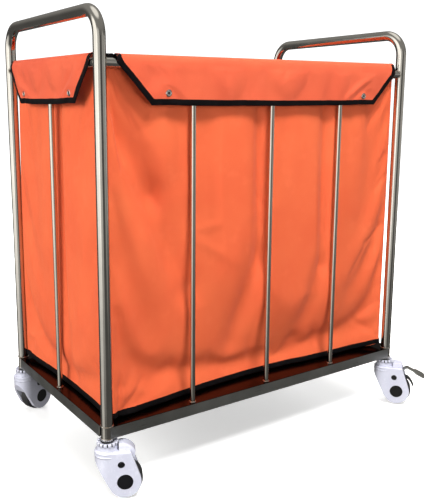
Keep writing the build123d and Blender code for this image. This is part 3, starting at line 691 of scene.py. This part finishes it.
def designed_walls(columns, heights):
    """Grid of the walls without folds, and each column's outward direction."""
    points = np.zeros((len(heights), len(columns), 3))
    outward = np.zeros((len(columns), 3))
    for c, (side, fraction) in enumerate(columns):
        top_z = WALL_TOP + (CORNER_TOP - WALL_TOP) * corner_rise(side, fraction)
        foot_z = WALL_FOOT + foot_lift(side, fraction)
        for r, t in enumerate(heights):
            spot, outward[c] = wall_point(side, fraction, t)
            points[r, c] = (MID_X + spot.x, MID_Y + spot.y, foot_z + (top_z - foot_z) * t)
    return points, outward


def settled_walls(points, outward, depth, heights, columns):
    """The walls after hanging, with their movement capped and their broad folds pressed in again."""
    pins = np.zeros(points.shape[:2])
    pins[[0, 1, -1, -2]] = 1
    pins[2], pins[3] = 0.6, 0.3
    pins[:, [i for i, (_, f) in enumerate(columns) if f > 1 or min(f, 1 - f) < 0.002]] = 1
    settled = simulate(points, True, pins, **WALL_CLOTH)
    out = ((settled - points) * outward[None]).sum(2)
    top, more = ROOM_OUT
    room = top + more * (1 - heights)[:, None] + depth.clip(0)
    held = np.where(out > 0, room * np.tanh(out / room), -ROOM_IN * np.tanh(-out / ROOM_IN))
    return settled + (held - out - PRESSED * depth)[:, :, None] * outward[None]


def halfway(columns):
    """The columns of the refined wall: each column and the place halfway to the next."""
    found = []
    for i, (side, fraction) in enumerate(columns):
        after = columns[(i + 1) % len(columns)]
        step = after[1] - fraction if after[0] == side else (2.0 - fraction if fraction > 1 else 0.0)
        found += [(side, fraction), (side, fraction + step / 2)]
    return found


def bag_walls():
    """The bag's four walls as one strip, hung from the rails and settled, and its columns."""
    columns = wall_columns()
    heights = np.linspace(0, 1, WALL_ROWS + 1)
    depth = folds_on(columns, heights, BROAD_FOLDS)
    quiet = np.clip(np.minimum(heights / FOOT_FADE, (1 - heights) / TOP_FADE), 0, 1)[:, None]
    near_corner = np.array([min(f, 1 - f) if f <= 1 else 0.0 for _, f in columns])
    depth *= quiet * np.clip(near_corner / CORNER_FADE, 0, 1)[None, :]
    points, outward = designed_walls(columns, heights)
    points -= depth[:, :, None] * outward[None, :, :]
    ring = np.linalg.norm(np.roll(points[-1], -1, 0) - points[-1], axis=1)
    along = np.concatenate([[0], np.cumsum(ring)[:-1]])
    rise = np.concatenate([[0], np.cumsum(np.linalg.norm(np.diff(points[:, 0], axis=0), axis=1))])
    cut = np.stack(np.broadcast_arrays(along[None, :], rise[:, None]), axis=2)
    points = settled_walls(points, outward, depth, heights, columns)
    cloth = Cloth(points, cut, True).refined()
    columns = halfway(columns)
    heights = np.linspace(0, 1, cloth.points.shape[0])
    creases = folds_on(columns, heights, FINE_FOLDS)
    cloth.points -= creases[:, :, None] * np.repeat(outward, 2, axis=0)[None]
    keep_behind_rods(cloth.points, columns)
    # The foot rests on the sheet in small waves.
    wave = rng.normal(0, 1, 24)
    phase = cloth.cut[0, :, 0] / along[-1] * 2 * math.pi
    lift = sum(wave[k] * np.sin((9 + 4 * k) * phase + wave[-1 - k]) / (k + 2) for k in range(8))
    lift = WAVE * (lift - lift.min()) / (lift.max() - lift.min())
    near = np.clip(1 - heights / WAVE_SHARE, 0, 1)[:, None]
    cloth.points[:, :, 2] += near * lift[None, :]
    return cloth.prepare(), columns


def bag_base(walls):
    """The bag's floor: rings from the walls' foot to the middle, lying on the sheet."""
    foot = walls.points[0]
    middle = np.array([MID_X, MID_Y, 0])
    rings = []
    wave = rng.uniform(0, 2 * math.pi, 6)
    for share in BASE_SHARES:
        ring = middle + (foot - middle) * share
        x, y = ring[:, 0], ring[:, 1]
        ripple = (np.sin(23 * x + wave[0]) * np.sin(17 * y + wave[1]) + 0.6 * np.sin(41 * x + 9 * y + wave[2])
                  + 0.4 * np.sin(37 * y - 14 * x + wave[3]))
        rest = SHEET_TOP + 0.0014 + 0.0011 * (ripple + 2.0) * min(1.0, (1 - share) * 12)
        near = max(0.0, 1 - (1 - share) * 12) ** 2
        ring[:, 2] = rest + (foot[:, 2] - rest) * near
        rings.append(ring)
    points = np.array(rings)[::-1]
    return Cloth(points, points[:, :, :2], True).prepare()


def stitches(name, spots, look):
    """Raised thread stitches, each between two points with a direction out of the cloth."""
    points, faces = [], []
    for a, b, out in spots:
        a, b, out = Vector(a), Vector(b), Vector(out)
        along = b - a
        side = along.cross(out).normalized() * STITCH_W
        up = out.normalized() * STITCH_H
        base = len(points)
        for t, size, rise in STITCH_RINGS:
            middle = a + along * t
            points += [middle - side * size + up * (rise - 0.9), middle - side * size * 0.6 + up * rise,
                       middle + side * size * 0.6 + up * rise, middle + side * size + up * (rise - 0.9)]
        for ring in range(3):
            for k in range(4):
                m = (k + 1) % 4
                faces.append((base + ring * 4 + k, base + (ring + 1) * 4 + k,
                              base + (ring + 1) * 4 + m, base + ring * 4 + m))
        faces.append((base, base + 1, base + 2, base + 3))
        faces.append((base + 15, base + 14, base + 13, base + 12))
    return mesh_piece(name, points, faces, look)


def foot_tape(walls):
    """Binding round the bag's foot."""
    step = float(np.linalg.norm(walls.points[1, 0] - walls.points[0, 0]))
    rings = [[walls.at(max(up, 0) / step, c, off) + (0, 0, min(up, 0)) for up, off in FOOT_SECTION]
             for c in range(walls.points.shape[1])]
    return tubes_piece("bag_foot_tape", [rings], "tape")


def corner_seams(walls, columns):
    """Two rows of stitches down each corner of the bag."""
    made = []
    rows = walls.points.shape[0]
    step = float(np.linalg.norm(walls.points[rows // 2, 0] - walls.points[rows // 2 - 1, 0]))
    for side in SIDES:
        corner = [i for i, (s, f) in enumerate(columns) if s == side and f > 1]
        centre = corner[len(corner) // 2]
        spots = []
        for offset in (-0.7, 0.7):
            travel = SEAM_START
            while travel < (rows - 3) * step:
                start = walls.at(travel / step, centre + offset, CLOTH_T * 0.62)
                end = walls.at((travel + SEAM_STITCH) / step, centre + offset, CLOTH_T * 0.62)
                spots.append((start, end, walls.at(travel / step, centre + offset, 0.004) - start))
                travel += SEAM_PITCH
        made.append(stitches("bag_seam_" + side, spots, "cloth_thread"))
    return made


def corner_tapes(walls, columns):
    """Binding on the bag's open edge behind each leg, between two flaps."""
    made = []
    count = len(columns)
    top = walls.points.shape[0] - 1 - 0.001
    for side in SIDES:
        corner = [i for i, (s, f) in enumerate(columns) if s == side and f > 1]
        first, last = corner[0], corner[-1]
        while corner_rise(*columns[first - 1]) > 0.75:
            first -= 1
        while corner_rise(*columns[(last + 1) % count]) > 0.75:
            last += 1
        rings = [[walls.at(top, step % count, lift) - (0, 0, inset) for inset, lift in TAPE_SECTION]
                 for step in np.linspace(first, last, 4 * (last - first) + 1)]
        made.append(tubes_piece("corner_tape_" + side, [rings], "tape", closed=False))
    return made


def build_bag():
    """The bag: walls, floor, bound foot, bound corners and seams."""
    walls, columns = bag_walls()
    base = bag_base(walls)
    wall_piece = walls.piece("bag_walls", "bag")
    base_piece = base.piece("bag_floor_cloth", "bag")
    for piece in (wall_piece, base_piece):
        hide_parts("bag_body")
    trims = [foot_tape(walls), *corner_seams(walls, columns), *corner_tapes(walls, columns)]


# ---------------------------------------------------------------- flaps
FLAP_FOLDS = {
    "front": [(80, 95, 93, 35, 16, 3), (90, 90, 84, 30, 12, -4), (8, 70, 26, 85, 18, 3),
              (30, 60, 36, 15, 30, -4), (52, 85, 60, 10, 40, -5), (72, 70, 74, 5, 30, 3)],
    "rear": [(20, 80, 26, 10, 30, -4), (48, 85, 44, 10, 40, -5), (70, 80, 74, 20, 30, -4),
             (90, 90, 84, 30, 14, 3)],
    "left": [(35, 80, 40, 10, 28, -4.5), (62, 85, 60, 10, 30, -4), (84, 90, 78, 40, 14, 3)],
    "right": [(30, 80, 34, 10, 28, -4.5), (64, 85, 66, 10, 30, -4)],
}
FLAP_CLOTH = {"frames": 22, "tension": 20.0, "bending": 8.0, "shrink": -0.003}
FLAP_HELD = 0.004               # length of the hanging part that the rail still holds
FLAP_FADE = 0.25                # share of the drop over which its folds set in
TAPE_STEP = 0.006               # length of a tape's sections
OVER_STEP = 0.004               # distance over which the cloth's slope at an edge is taken
FLAP_STITCH, FLAP_PITCH = 0.0025, 0.0034
# Sections of a press stud's rim and dimple: (radius, height above its cap), round a closed loop.
SNAP_RIM = [(0.0064, -0.0012), (0.0066, 0.0002), (0.0060, 0.0009), (0.0053, 0.0008), (0.0049, 0.0001),
            (0.0049, -0.0012)]
SNAP_DIMPLE = [(0.0029, -0.0010), (0.0030, 0.00025), (0.0024, 0.00045), (0.0013, 0.0001), (0.0006, 0.00035),
               (0.0002, 0.0004), (0.0002, -0.0010)]


class Flap:
    """A flap: its place on one side, its settled cloth, and the way from the cut to the grid."""

    def __init__(self, side):
        self.side = side
        self.half_top, self.half_foot = (HALF[side] - inset for inset in FLAP_INSETS[KIND[side]])
        self.snap_u = HALF[side] - SNAP_INSETS[KIND[side]]
        self.drop = RAIL_Z - FLAP_FOOT
        self.wrap = math.pi * FLAP_R
        turn = SIDES.index(side) * math.pi / 2
        centre = (MID_X, PLANE[side]) if KIND[side] == "long" else (PLANE[side], MID_Y)
        self.place = Matrix.Translation((*centre, RAIL_Z)) @ Matrix.Rotation(turn, 4, "Z")
        self.columns = 2 * round(self.half_top / FLAP_COLUMN)
        self.levels = np.concatenate([
            np.linspace(0, FLAP_LEG, LEG_ROWS + 1),
            FLAP_LEG + np.linspace(0, self.wrap, WRAP_ROWS + 1)[1:],
            FLAP_LEG + self.wrap + np.linspace(0, self.drop, DROP_ROWS + 1)[1:],
        ])
        self.cloth = self.settled()

    def half_at(self, v):
        """Half length of the cut at a distance v from its inner edge."""
        t = max(0.0, (v - FLAP_LEG - self.wrap) / self.drop)
        return self.half_top + (self.half_foot - self.half_top) * t

    def section(self, v):
        """(y, z) and outward direction of the flap round the rail, at a distance v along the cut."""
        if v <= FLAP_LEG:
            return (FLAP_R, v - FLAP_LEG), (1, 0)
        if v <= FLAP_LEG + self.wrap:
            a = (v - FLAP_LEG) / FLAP_R
            return (FLAP_R * math.cos(a), FLAP_R * math.sin(a)), (math.cos(a), math.sin(a))
        return (-FLAP_R, -(v - FLAP_LEG - self.wrap)), (-1, 0)

    def lift(self, share, v, z):
        """How far the stiff cloth stands above a tight wrap, and how far its foot sags."""
        if v < FLAP_LEG:
            return 0.0
        if v < FLAP_LEG + self.wrap:
            left, right = FLAP_RISE[self.side]
            return (left + (right - left) * share) * math.sin((v - FLAP_LEG) / FLAP_R)
        left, right = FLAP_SAG[self.side]
        return -(left + (right - left) * share) * (-z / self.drop) ** 2

    def settled(self):
        """The flap's cloth: designed folds, hung from the rail and studs, kept near its flat shape."""
        rows, columns = len(self.levels), self.columns + 1
        plain = np.zeros((rows, columns, 3))
        cut = np.zeros((rows, columns, 2))
        pins = np.zeros((rows, columns))
        out = np.zeros((rows, 1, 3))
        for r, v in enumerate(self.levels):
            (y, z), (oy, oz) = self.section(v)
            out[r] = (0, oy, oz)
            half = self.half_at(v)
            for c in range(columns):
                u = half * (2 * c / self.columns - 1)
                plain[r, c] = (u, y, z + self.lift(c / self.columns, v, z))
                cut[r, c] = (u, v)
                hung = v <= FLAP_LEG + self.wrap + FLAP_HELD
                snapped = math.hypot(abs(u) - self.snap_u, z + SNAP_DROP) < SNAP_HOLD
                pins[r, c] = 1.0 if hung or snapped else 0.0
        fall = np.clip((self.levels - FLAP_LEG - self.wrap) / self.drop, 0, 1)
        u, v = np.meshgrid(np.linspace(0, 1, columns), 1 - fall)
        inward = fold_depth(u, v, 2 * self.half_top, self.drop, FLAP_FOLDS[self.side])
        inward *= (1 - pins) * np.clip(fall / FLAP_FADE, 0, 1)[:, None]
        inward -= FLAP_BELLY * np.sin(np.pi * fall ** 0.6)[:, None] * np.clip(6 * u * (1 - u), 0, 1)
        points = plain + np.clip(-inward, *FLAP_ROOM)[:, :, None] * out
        points = simulate(points, False, pins, **FLAP_CLOTH)
        off = ((points - plain) * out).sum(2)
        inner, outer = FLAP_HOLD
        held = np.where(off > 0, outer * np.tanh(off / outer), inner * np.tanh(off / inner))
        points = points + (held - off)[:, :, None] * out
        spin = np.array(self.place)
        points = points @ spin[:3, :3].T + spin[:3, 3]
        return Cloth(points, cut, False).refined().prepare()

    def at(self, u, v, lift=0.0):
        """Point on the cloth at a place on the cut."""
        levels = self.cloth.cut[:, 0, 1]
        row = float(np.interp(v, levels, np.arange(len(levels))))
        column = (u / self.half_at(v) + 1) / 2 * (self.cloth.points.shape[1] - 1)
        return self.cloth.at(row, column, lift)

    def spot(self, place, lift):
        """The same, carried straight on past the edge where the place lies outside the cut."""
        v = min(max(place.y, 0.0), FLAP_LEG + self.wrap + self.drop)
        half = self.half_at(v)
        u = min(max(place.x, -half), half)
        found = self.at(u, v, lift)
        spare_u, spare_v = place.x - u, place.y - v
        if spare_u or spare_v:
            inner_u = u - math.copysign(OVER_STEP, u)
            along_u = (self.at(u, v) - self.at(inner_u, v)) / OVER_STEP * math.copysign(1, u)
            inner_v = v - OVER_STEP if v > OVER_STEP else v + OVER_STEP
            along_v = (self.at(u, v) - self.at(u, inner_v)) / (v - inner_v)
            found = found + along_u * spare_u + along_v * spare_v
        return found

    def border(self):
        """Corners of the bound edge on the cut, from one inner end round to the other."""
        start, knee, foot = FLAP_LEG, FLAP_LEG + self.wrap, FLAP_LEG + self.wrap + self.drop
        return [(-self.half_top, start), (-self.half_top, knee), (-self.half_foot, foot),
                (self.half_foot, foot), (self.half_top, knee), (self.half_top, start)]


def spaced_path(corners, step):
    """Points along a polyline about step apart, each with the inward mitre direction."""
    corners = [Vector(c) for c in corners]
    runs = [b - a for a, b in zip(corners, corners[1:])]
    inward = [Vector((r.y, -r.x)).normalized() for r in runs]
    path = []
    for i, run in enumerate(runs):
        count = max(1, round(run.length / step))
        for k in range(count):
            if k or not i:
                side = inward[i]
            else:
                both = inward[i - 1] + inward[i]
                side = both * (2 / both.length_squared)
            path.append((corners[i] + run * (k / count), side))
    path.append((corners[-1], inward[-1]))
    return path


def flap_tape(flap):
    """Binding folded over the flap's free edges."""
    rings = [[flap.spot(place + side * inset, lift) for inset, lift in TAPE_SECTION]
             for place, side in spaced_path(flap.border(), TAPE_STEP)]
    return tubes_piece("tape_" + flap.side, [rings], "tape", closed=False)


def flap_stitches(flap):
    """One row of stitches near the inner edge of the flap's tape."""
    spots = []
    path = [p + s * (TAPE_W - 0.0021) for p, s in spaced_path(flap.border(), 5.0)]
    for a, b in zip(path, path[1:]):
        run = b - a
        count = int(run.length / FLAP_PITCH)
        for k in range(count):
            start = a + run * ((k + 0.15) / count)
            end = start + run.normalized() * FLAP_STITCH
            first = flap.spot(start, TAPE_T * 1.12)
            spots.append((first, flap.spot(end, TAPE_T * 1.12), flap.spot(start, TAPE_T * 3) - first))
    return stitches("tape_stitches_" + flap.side, spots, "tape_thread")


def snap_rings(flap):
    """A bright rolled rim and a dimple on each press stud of a flap, the dimple painted near black as painted shade
    in its hollow.
    """
    low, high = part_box("flap_snaps")
    face = {"front": low.y, "left": low.x, "rear": high.y, "right": high.x}[flap.side]
    proud = abs(face - PLANE[flap.side])
    made = []
    # The dimple's black material is painted shade in the stud's hollow.
    for name, look, section in (("snap_rim", "stud", SNAP_RIM), ("snap_dimple_painted_shade", "shoe", SNAP_DIMPLE)):
        tubes = [[[flap.place @ Vector((way * flap.snap_u + r * cos, -proud - off, -SNAP_DROP + r * sin))
                   for r, off in section] for cos, sin in turns(28)] for way in (-1, 1)]
        made.append(tubes_piece(name + "_" + flap.side, tubes, look))
    return made


def build_flaps():
    """Four flaps with their tapes and stitches."""
    for side in SIDES:
        flap = Flap(side)
        sheet = flap.cloth.piece("flap_cloth_" + side, "flap")
        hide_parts("flap_" + side)
        sheet.visible_glossy = False
        trims = [flap_tape(flap), flap_stitches(flap), *snap_rings(flap)]


# ---------------------------------------------------------------- welds
# How far a bead's middle stands off the joint, and its radius.
ROD_FOOT_BEAD, ROD_TOP_BEAD = (0.0004, 0.0016), (0.0002, 0.0011)
BASE_BEAD, SHEET_BEAD = (0.0002, 0.0012), (0.0002, 0.0014)
RAIL_BEAD = 0.0013              # radius of a bead at a rail's end


def bead(name, loops):
    """Weld beads: each loop is (points, directions out of the joint, radius), a rippled ring of metal."""
    tubes = []
    for path, out, size in loops:
        rings, count = [], len(path)
        for i in range(count):
            along = (Vector(path[(i + 1) % count]) - Vector(path[i - 1])).normalized()
            away = Vector(out[i]).normalized()
            side = along.cross(away).normalized()
            swell = size * (1 + 0.16 * math.sin(i * 2.1) + 0.10 * rng.normal())
            rings.append([Vector(path[i]) + (away * cos + side * sin) * swell for cos, sin in turns(8)])
        tubes.append(rings)
    return tubes_piece(name, tubes, "weld")


def rod_places():
    """Axis of every guard rod."""
    found = []
    for y in (FRONT_Y, REAR_Y):
        found += [(MID_X + share * HALF_X, y) for share in (-0.5, 0.0, 0.5)]
    found += [(LEFT_X, MID_Y), (RIGHT_X, MID_Y)]
    return found


def circle_loop(x, y, z, radius, size, count=26, rise=lambda cos, sin: 0.0):
    """A level ring round an upright bar; rise lifts it where it follows a curved surface."""
    path = [(x + radius * cos, y + radius * sin, z + rise(cos, sin)) for cos, sin in turns(count)]
    return path, [(cos, sin, 0.6) for cos, sin in turns(count)], size


def rail_loop(x, y, way):
    """Ring where a rail meets a leg; way is the rail's direction away from the leg."""
    wx, wy = way
    path, out = [], []
    for cos, sin in turns(28):
        off, up = RAIL_R * cos, RAIL_R * sin
        reach = math.sqrt(HOOP_R ** 2 - off ** 2)
        path.append((x + wx * reach - wy * off, y + wy * reach + wx * off, RAIL_Z + up))
        out.append((wx * 0.7 - wy * cos, wy * 0.7 + wx * cos, sin))
    return path, out, RAIL_BEAD


def build_welds():
    """Beads at the rods' feet and tops, the rails' ends and the base corners."""
    feet, tops, ends, bases = [], [], [], []
    for x, y in rod_places():
        lengthways = abs(abs(y - MID_Y) - HALF_Y) < 1e-6

        def under(cos, sin, lengthways=lengthways):
            """Depth of the rail's underside below its axis, round the rod."""
            return -math.sqrt(RAIL_R ** 2 - (ROD_R * (sin if lengthways else cos)) ** 2)

        gap, size = ROD_FOOT_BEAD
        feet.append(circle_loop(x, y, SHEET_TOP + gap, ROD_R + gap, size))
        gap, size = ROD_TOP_BEAD
        tops.append(circle_loop(x, y, RAIL_Z - gap, ROD_R + gap, size, rise=under))
    for x, sx in ((LEFT_X, 1), (RIGHT_X, -1)):
        for y, sy in ((FRONT_Y, 1), (REAR_Y, -1)):
            ends += [rail_loop(x, y, (sx, 0)), rail_loop(x, y, (0, sy))]
            gap, size = BASE_BEAD
            bases.append(circle_loop(x, y, BASE_LOW - gap, HOOP_R + gap, size, 40))
            gap, size = SHEET_BEAD
            bases.append(circle_loop(x, y, SHEET_TOP + gap, HOOP_R + gap, size, 40))
    for name, loops in (("rod_foot_welds", feet), ("rod_top_welds", tops),
                        ("rail_end_welds", ends), ("leg_base_welds", bases)):
        bead(name, loops)


# ---------------------------------------------------------------- castors
# Castor body sizes, in metres from the swivel axis: turret, round front, flat cheeks.
TURRET_R, TURRET_TOP, FRONT_R, CHEEK = 0.0215, 0.1200, 0.0270, 0.0240
BELT_LEVELS = ((0.0935, 0.0009, 0.0013), (0.1010, 0.0005, 0.0008))   # height, how proud, half height
BELT_SECTION = ((-0.8, 1.2), (0.35, 0.95), (0.9, 0.45), (1.0, 0.0), (0.9, -0.45), (0.35, -0.95), (-0.8, -1.2))
TEETH = 14
# Teeth, and black blocks in the gaps between them that are painted shade: first place, angle, lowest and highest z,
# inner and outer radius.
TOOTH = (0.0, 0.30, 0.1130, TURRET_TOP + 0.0016, TURRET_R - 0.0050, TURRET_R + 0.0008)
TOOTH_GAP_SHADE = (0.5, 0.13, 0.1150, TURRET_TOP + 0.0003, TURRET_R - 0.0040, TURRET_R + 0.0002)
TOOTH_EDGE = 0.0009             # bevel of a tooth
AXLE_RIM = 0.0174               # radius of the rim round an axle cap
SCREW_CAP = (0.0275, 0.0770, 0.0078)    # x, z and rim radius of the screw caps
RIM_SECTION = [(-0.0004, -0.0010), (-0.0003, 0.0006), (0.0003, 0.0010), (0.0012, 0.0010), (0.0018, 0.0004),
               (0.0020, -0.0010)]


def castor_belt(place, name, body, level, proud, half):
    """Raised rib round the moulded body's front and along its cheeks."""
    path = [((0.040 - 0.003 * k), -CHEEK) for k in range(8)]
    path += [(FRONT_R * math.cos(a), FRONT_R * math.sin(a))
             for a in (math.radians(-66 - 228 * k / 40) for k in range(41))]
    path += [((0.019 + 0.003 * k), CHEEK) for k in range(8)]
    rings = []
    for i, (x, y) in enumerate(path):
        x0, y0 = path[max(i - 1, 0)]
        x1, y1 = path[min(i + 1, len(path) - 1)]
        out = Vector((y0 - y1, x1 - x0, 0)).normalized()
        taper = min(1.0, (min(i, len(path) - 1 - i) + 0.3) / 3)
        rings.append([place @ (Vector((x, y, level + rise * half)) - out * depth * proud * taper)
                      for depth, rise in BELT_SECTION])
    return tubes_piece(name, [rings], "white", closed=False, body=body)


def castor_teeth(place, name, body, look, first, wide, low, high, inner, outer):
    """Blocks spaced round the turret's rim."""
    section = ((inner, low), (inner, high), (outer - TOOTH_EDGE, high),
               (outer, high - TOOTH_EDGE), (outer, low))
    tubes = []
    for k in range(TEETH):
        middle = math.tau * (k + first) / TEETH
        angles = [middle + wide * (j / 4 - 0.5) for j in range(5)]
        tubes.append([[place @ Vector((r * math.cos(a), r * math.sin(a), z)) for r, z in section]
                      for a in angles])
    return tubes_piece(name, tubes, look, closed=False, body=body)


def cap_rims(place, name, body, centres):
    """White raised rims round the black caps of both cheeks."""
    tubes = []
    for x, z, radius in centres:
        section = [(radius + grow, CHEEK + off) for grow, off in RIM_SECTION]
        for side in (-1, 1):
            tubes.append([[place @ Vector((x + r * cos, side * y, z + r * sin)) for r, y in section]
                          for cos, sin in turns(40, side)])
    return tubes_piece(name, tubes, "white", body=body)


def build_castors():
    """Moulded details of each castor, riding on its swivelling body."""
    joints = {j["name"]: Vector(j["pos_m"]) for j in frame["record"]["behaviour"]["joints"]}
    for corner in ("fl", "fr", "rl", "rr"):
        pivot, axle = joints["swivel_" + corner], joints["roll_" + corner]
        turn = math.atan2(axle.y - pivot.y, axle.x - pivot.x)
        place = Matrix.Translation((pivot.x, pivot.y, 0)) @ Matrix.Rotation(turn, 4, "Z")
        trail = math.hypot(axle.x - pivot.x, axle.y - pivot.y)
        body, pre = "castor_" + corner, "castor_" + corner + "_"
        pieces = [castor_belt(place, pre + f"belt_{i}", body, *level) for i, level in enumerate(BELT_LEVELS)]
        pieces.append(castor_teeth(place, pre + "teeth", body, "white", *TOOTH))
        pieces.append(cap_rims(place, pre + "cap_rims", body, ((trail, axle.z, AXLE_RIM), SCREW_CAP)))
        # Painted shade: black blocks fill the gaps between the turret's teeth.
        castor_teeth(place, pre + "teeth_gap_shade", body, "shoe", *TOOTH_GAP_SHADE)


# ---------------------------------------------------------------- stage
FLOOR_R, FLOOR_DROP = 14, 0.0004
DOME_R, DOME_FOOT, DOME_ROWS, DOME_COLUMNS = 13, -0.3, 14, 48
# Patches of light that the steel reflects: direction, cosines where one starts and is full, strength.
SIDE_GLOWS = (((-1.0, 0.08, 0.0), 0.743, 0.866, 1.5), ((-0.70, -0.71, 0.0), 0.86, 0.94, 0.62),
              ((0.58, -0.81, 0.0), 0.927, 0.966, 0.32), ((0.94, -0.34, 0.0), 0.968, 0.988, 0.55))
LOW_FADE, LOW_LEVEL = ((0, 0, 1), -0.42, -0.04, 0.62), 0.38     # the side patches dim below the horizon
TOP_GLOWS = (((0, 0, 1), 0.83, 0.95, 0.9), ((0, 0, 1), 0.0, 0.6, 0.20))
SKY_LEVEL, SKY_COLOUR = 0.09, (1.0, 0.965, 0.90, 1)
# Area lights: place, aim, size and power.
LIGHTS = {
    "left_key": ((-3.0, -0.45, 1.5), (MID_X, -0.1, 0.5), (1.3, 1.1), 58),
    "front_key": ((-0.25, -1.75, 3.0), (MID_X, -0.2, 0.4), (0.8, 0.7), 88),
    "front_fill": ((-0.6, -3.2, 1.0), (MID_X, 0, 0.4), (1.6, 1.2), 38),
    "top_soft": ((0.0, 0.6, 3.4), (0, 0, 0), (2.4, 2.4), 14),
    "rear_soft": ((0.6, 3.2, 1.9), (0, 0, 0.4), (2.0, 2.0), 95),
    "right_soft": ((3.2, 0.6, 1.5), (0, 0, 0.4), (1.6, 1.4), 62),
}
CAMERA_PLACE = Vector((-1.0567, -1.4616, 0.8132))
CAMERA_TURN = (-34.64, 10.22, 0.32)     # azimuth, elevation and roll in degrees
CAMERA_LENS, CAMERA_SHIFT = 50.12, (0.0198, -0.0405)


def stage_piece(name, points, faces, shader, unseen_by):
    """A surface of the stage, unseen by some kinds of rays."""
    mesh = bpy.data.meshes.new(name)
    mesh.from_pydata(points, [], faces)
    mesh.materials.append(shader.material)
    obj = bpy.data.objects.new(name, mesh)
    bpy.context.scene.collection.objects.link(obj)
    for kind in unseen_by:
        setattr(obj, "visible_" + kind, False)


def studio_floor():
    """Pale floor with painted light: it glows, more strongly away from the trolley, which whitens it and lifts the
    shadow under the trolley.
    """
    s = Shader("floor_painted_glow", (0.93, 0.93, 0.93), 0.85)
    s.bump((s.noise(s.place(), 300.0, 2.0), 0.04, 0.0002))
    reach = s.node("VectorMath", {0: s.place()}, "Value", operation="LENGTH")
    # Painted light: the floor's glow rises from 0.42 within half a metre of the middle to 1.0 two metres out.
    s.emit(s.range(reach, 0.5, 2.0, 0.42, 1.0))
    ring = [(FLOOR_R * cos, FLOOR_R * sin, -FLOOR_DROP) for cos, sin in turns(96)]
    stage_piece("studio_floor", ring, [tuple(range(len(ring)))], s, ("glossy", "diffuse"))


def reflections():
    """The world: soft patches of light for the steel to reflect."""
    world = bpy.data.worlds.new("studio")
    bpy.context.scene.world = world
    world.use_nodes = True
    world.node_tree.nodes.clear()
    n = Nodes(world.node_tree)
    way = n.node("TexCoord", out="Generated")

    def glow(direction, start, end, strength):
        """A soft patch of light round a direction."""
        dot = n.node("VectorMath", {0: way, 1: Vector(direction).normalized()}, "Value",
                     operation="DOT_PRODUCT")
        return n.range(dot, start, end, 0.0, strength, interpolation_type="SMOOTHSTEP")

    level = glow(*SIDE_GLOWS[0])
    for patch in SIDE_GLOWS[1:]:
        level = n.math("ADD", level, glow(*patch))
    level = n.math("MULTIPLY", level, n.math("ADD", glow(*LOW_FADE), LOW_LEVEL))
    for patch in TOP_GLOWS:
        level = n.math("ADD", level, glow(*patch))
    sky = n.node("Background", {"Color": SKY_COLOUR, "Strength": n.math("ADD", level, SKY_LEVEL)})
    n.put(n.tree.nodes.new("ShaderNodeOutputWorld"), "Surface", sky)


def surround():
    """White dome that only the camera sees."""
    s = Shader("surround_white", (0, 0, 0))
    s.emit(1.3)
    points = []
    for r in range(DOME_ROWS + 1):
        rise = math.pi / 2 * r / DOME_ROWS
        level, shrink = DOME_FOOT + DOME_R * math.sin(rise), math.cos(rise)
        points += [(DOME_R * cos * shrink, DOME_R * sin * shrink, level) for cos, sin in turns(DOME_COLUMNS)]
    stage_piece("studio_surround", points, grid_faces(DOME_ROWS + 1, DOME_COLUMNS, True), s,
                ("diffuse", "glossy", "transmission", "volume_scatter", "shadow"))


def panel(name, place, aim, size, power):
    """A soft area light, unseen in reflections."""
    data = bpy.data.lights.new(name, "AREA")
    data.shape = "RECTANGLE"
    data.size, data.size_y = size
    data.energy = power
    obj = bpy.data.objects.new(name, data)
    obj.location = place
    obj.rotation_mode = "QUATERNION"
    obj.rotation_quaternion = (Vector(aim) - Vector(place)).to_track_quat("-Z", "Y")
    obj.visible_glossy = obj.visible_camera = False
    bpy.context.scene.collection.objects.link(obj)


def studio():
    """Floor, reflections, surround and lights."""
    view = bpy.context.scene.view_settings
    view.view_transform, view.look = "Standard", "None"
    studio_floor()
    reflections()
    surround()
    for name, light in LIGHTS.items():
        panel(name, *light)


def camera():
    """Camera at the left front corner, a little above the middle of the trolley."""
    azimuth, elevation, roll = (math.radians(a) for a in CAMERA_TURN)
    back = Vector((math.sin(azimuth) * math.cos(elevation), -math.cos(azimuth) * math.cos(elevation),
                   math.sin(elevation)))
    level = (-back).cross(Vector((0, 0, 1))).normalized()
    upright = level.cross(-back)
    right = level * math.cos(roll) + upright * math.sin(roll)
    up = upright * math.cos(roll) - level * math.sin(roll)
    data = bpy.data.cameras.new("camera")
    data.lens = CAMERA_LENS
    data.sensor_width = 36.0
    data.shift_x, data.shift_y = CAMERA_SHIFT
    obj = bpy.data.objects.new("camera", data)
    axes = Matrix((right, up, back)).transposed().to_4x4()
    obj.matrix_world = Matrix.Translation(CAMERA_PLACE) @ axes
    bpy.context.scene.collection.objects.link(obj)
    bpy.context.scene.camera = obj


dress_frame()
build_bag()
build_flaps()
build_welds()
build_castors()
studio()
camera()
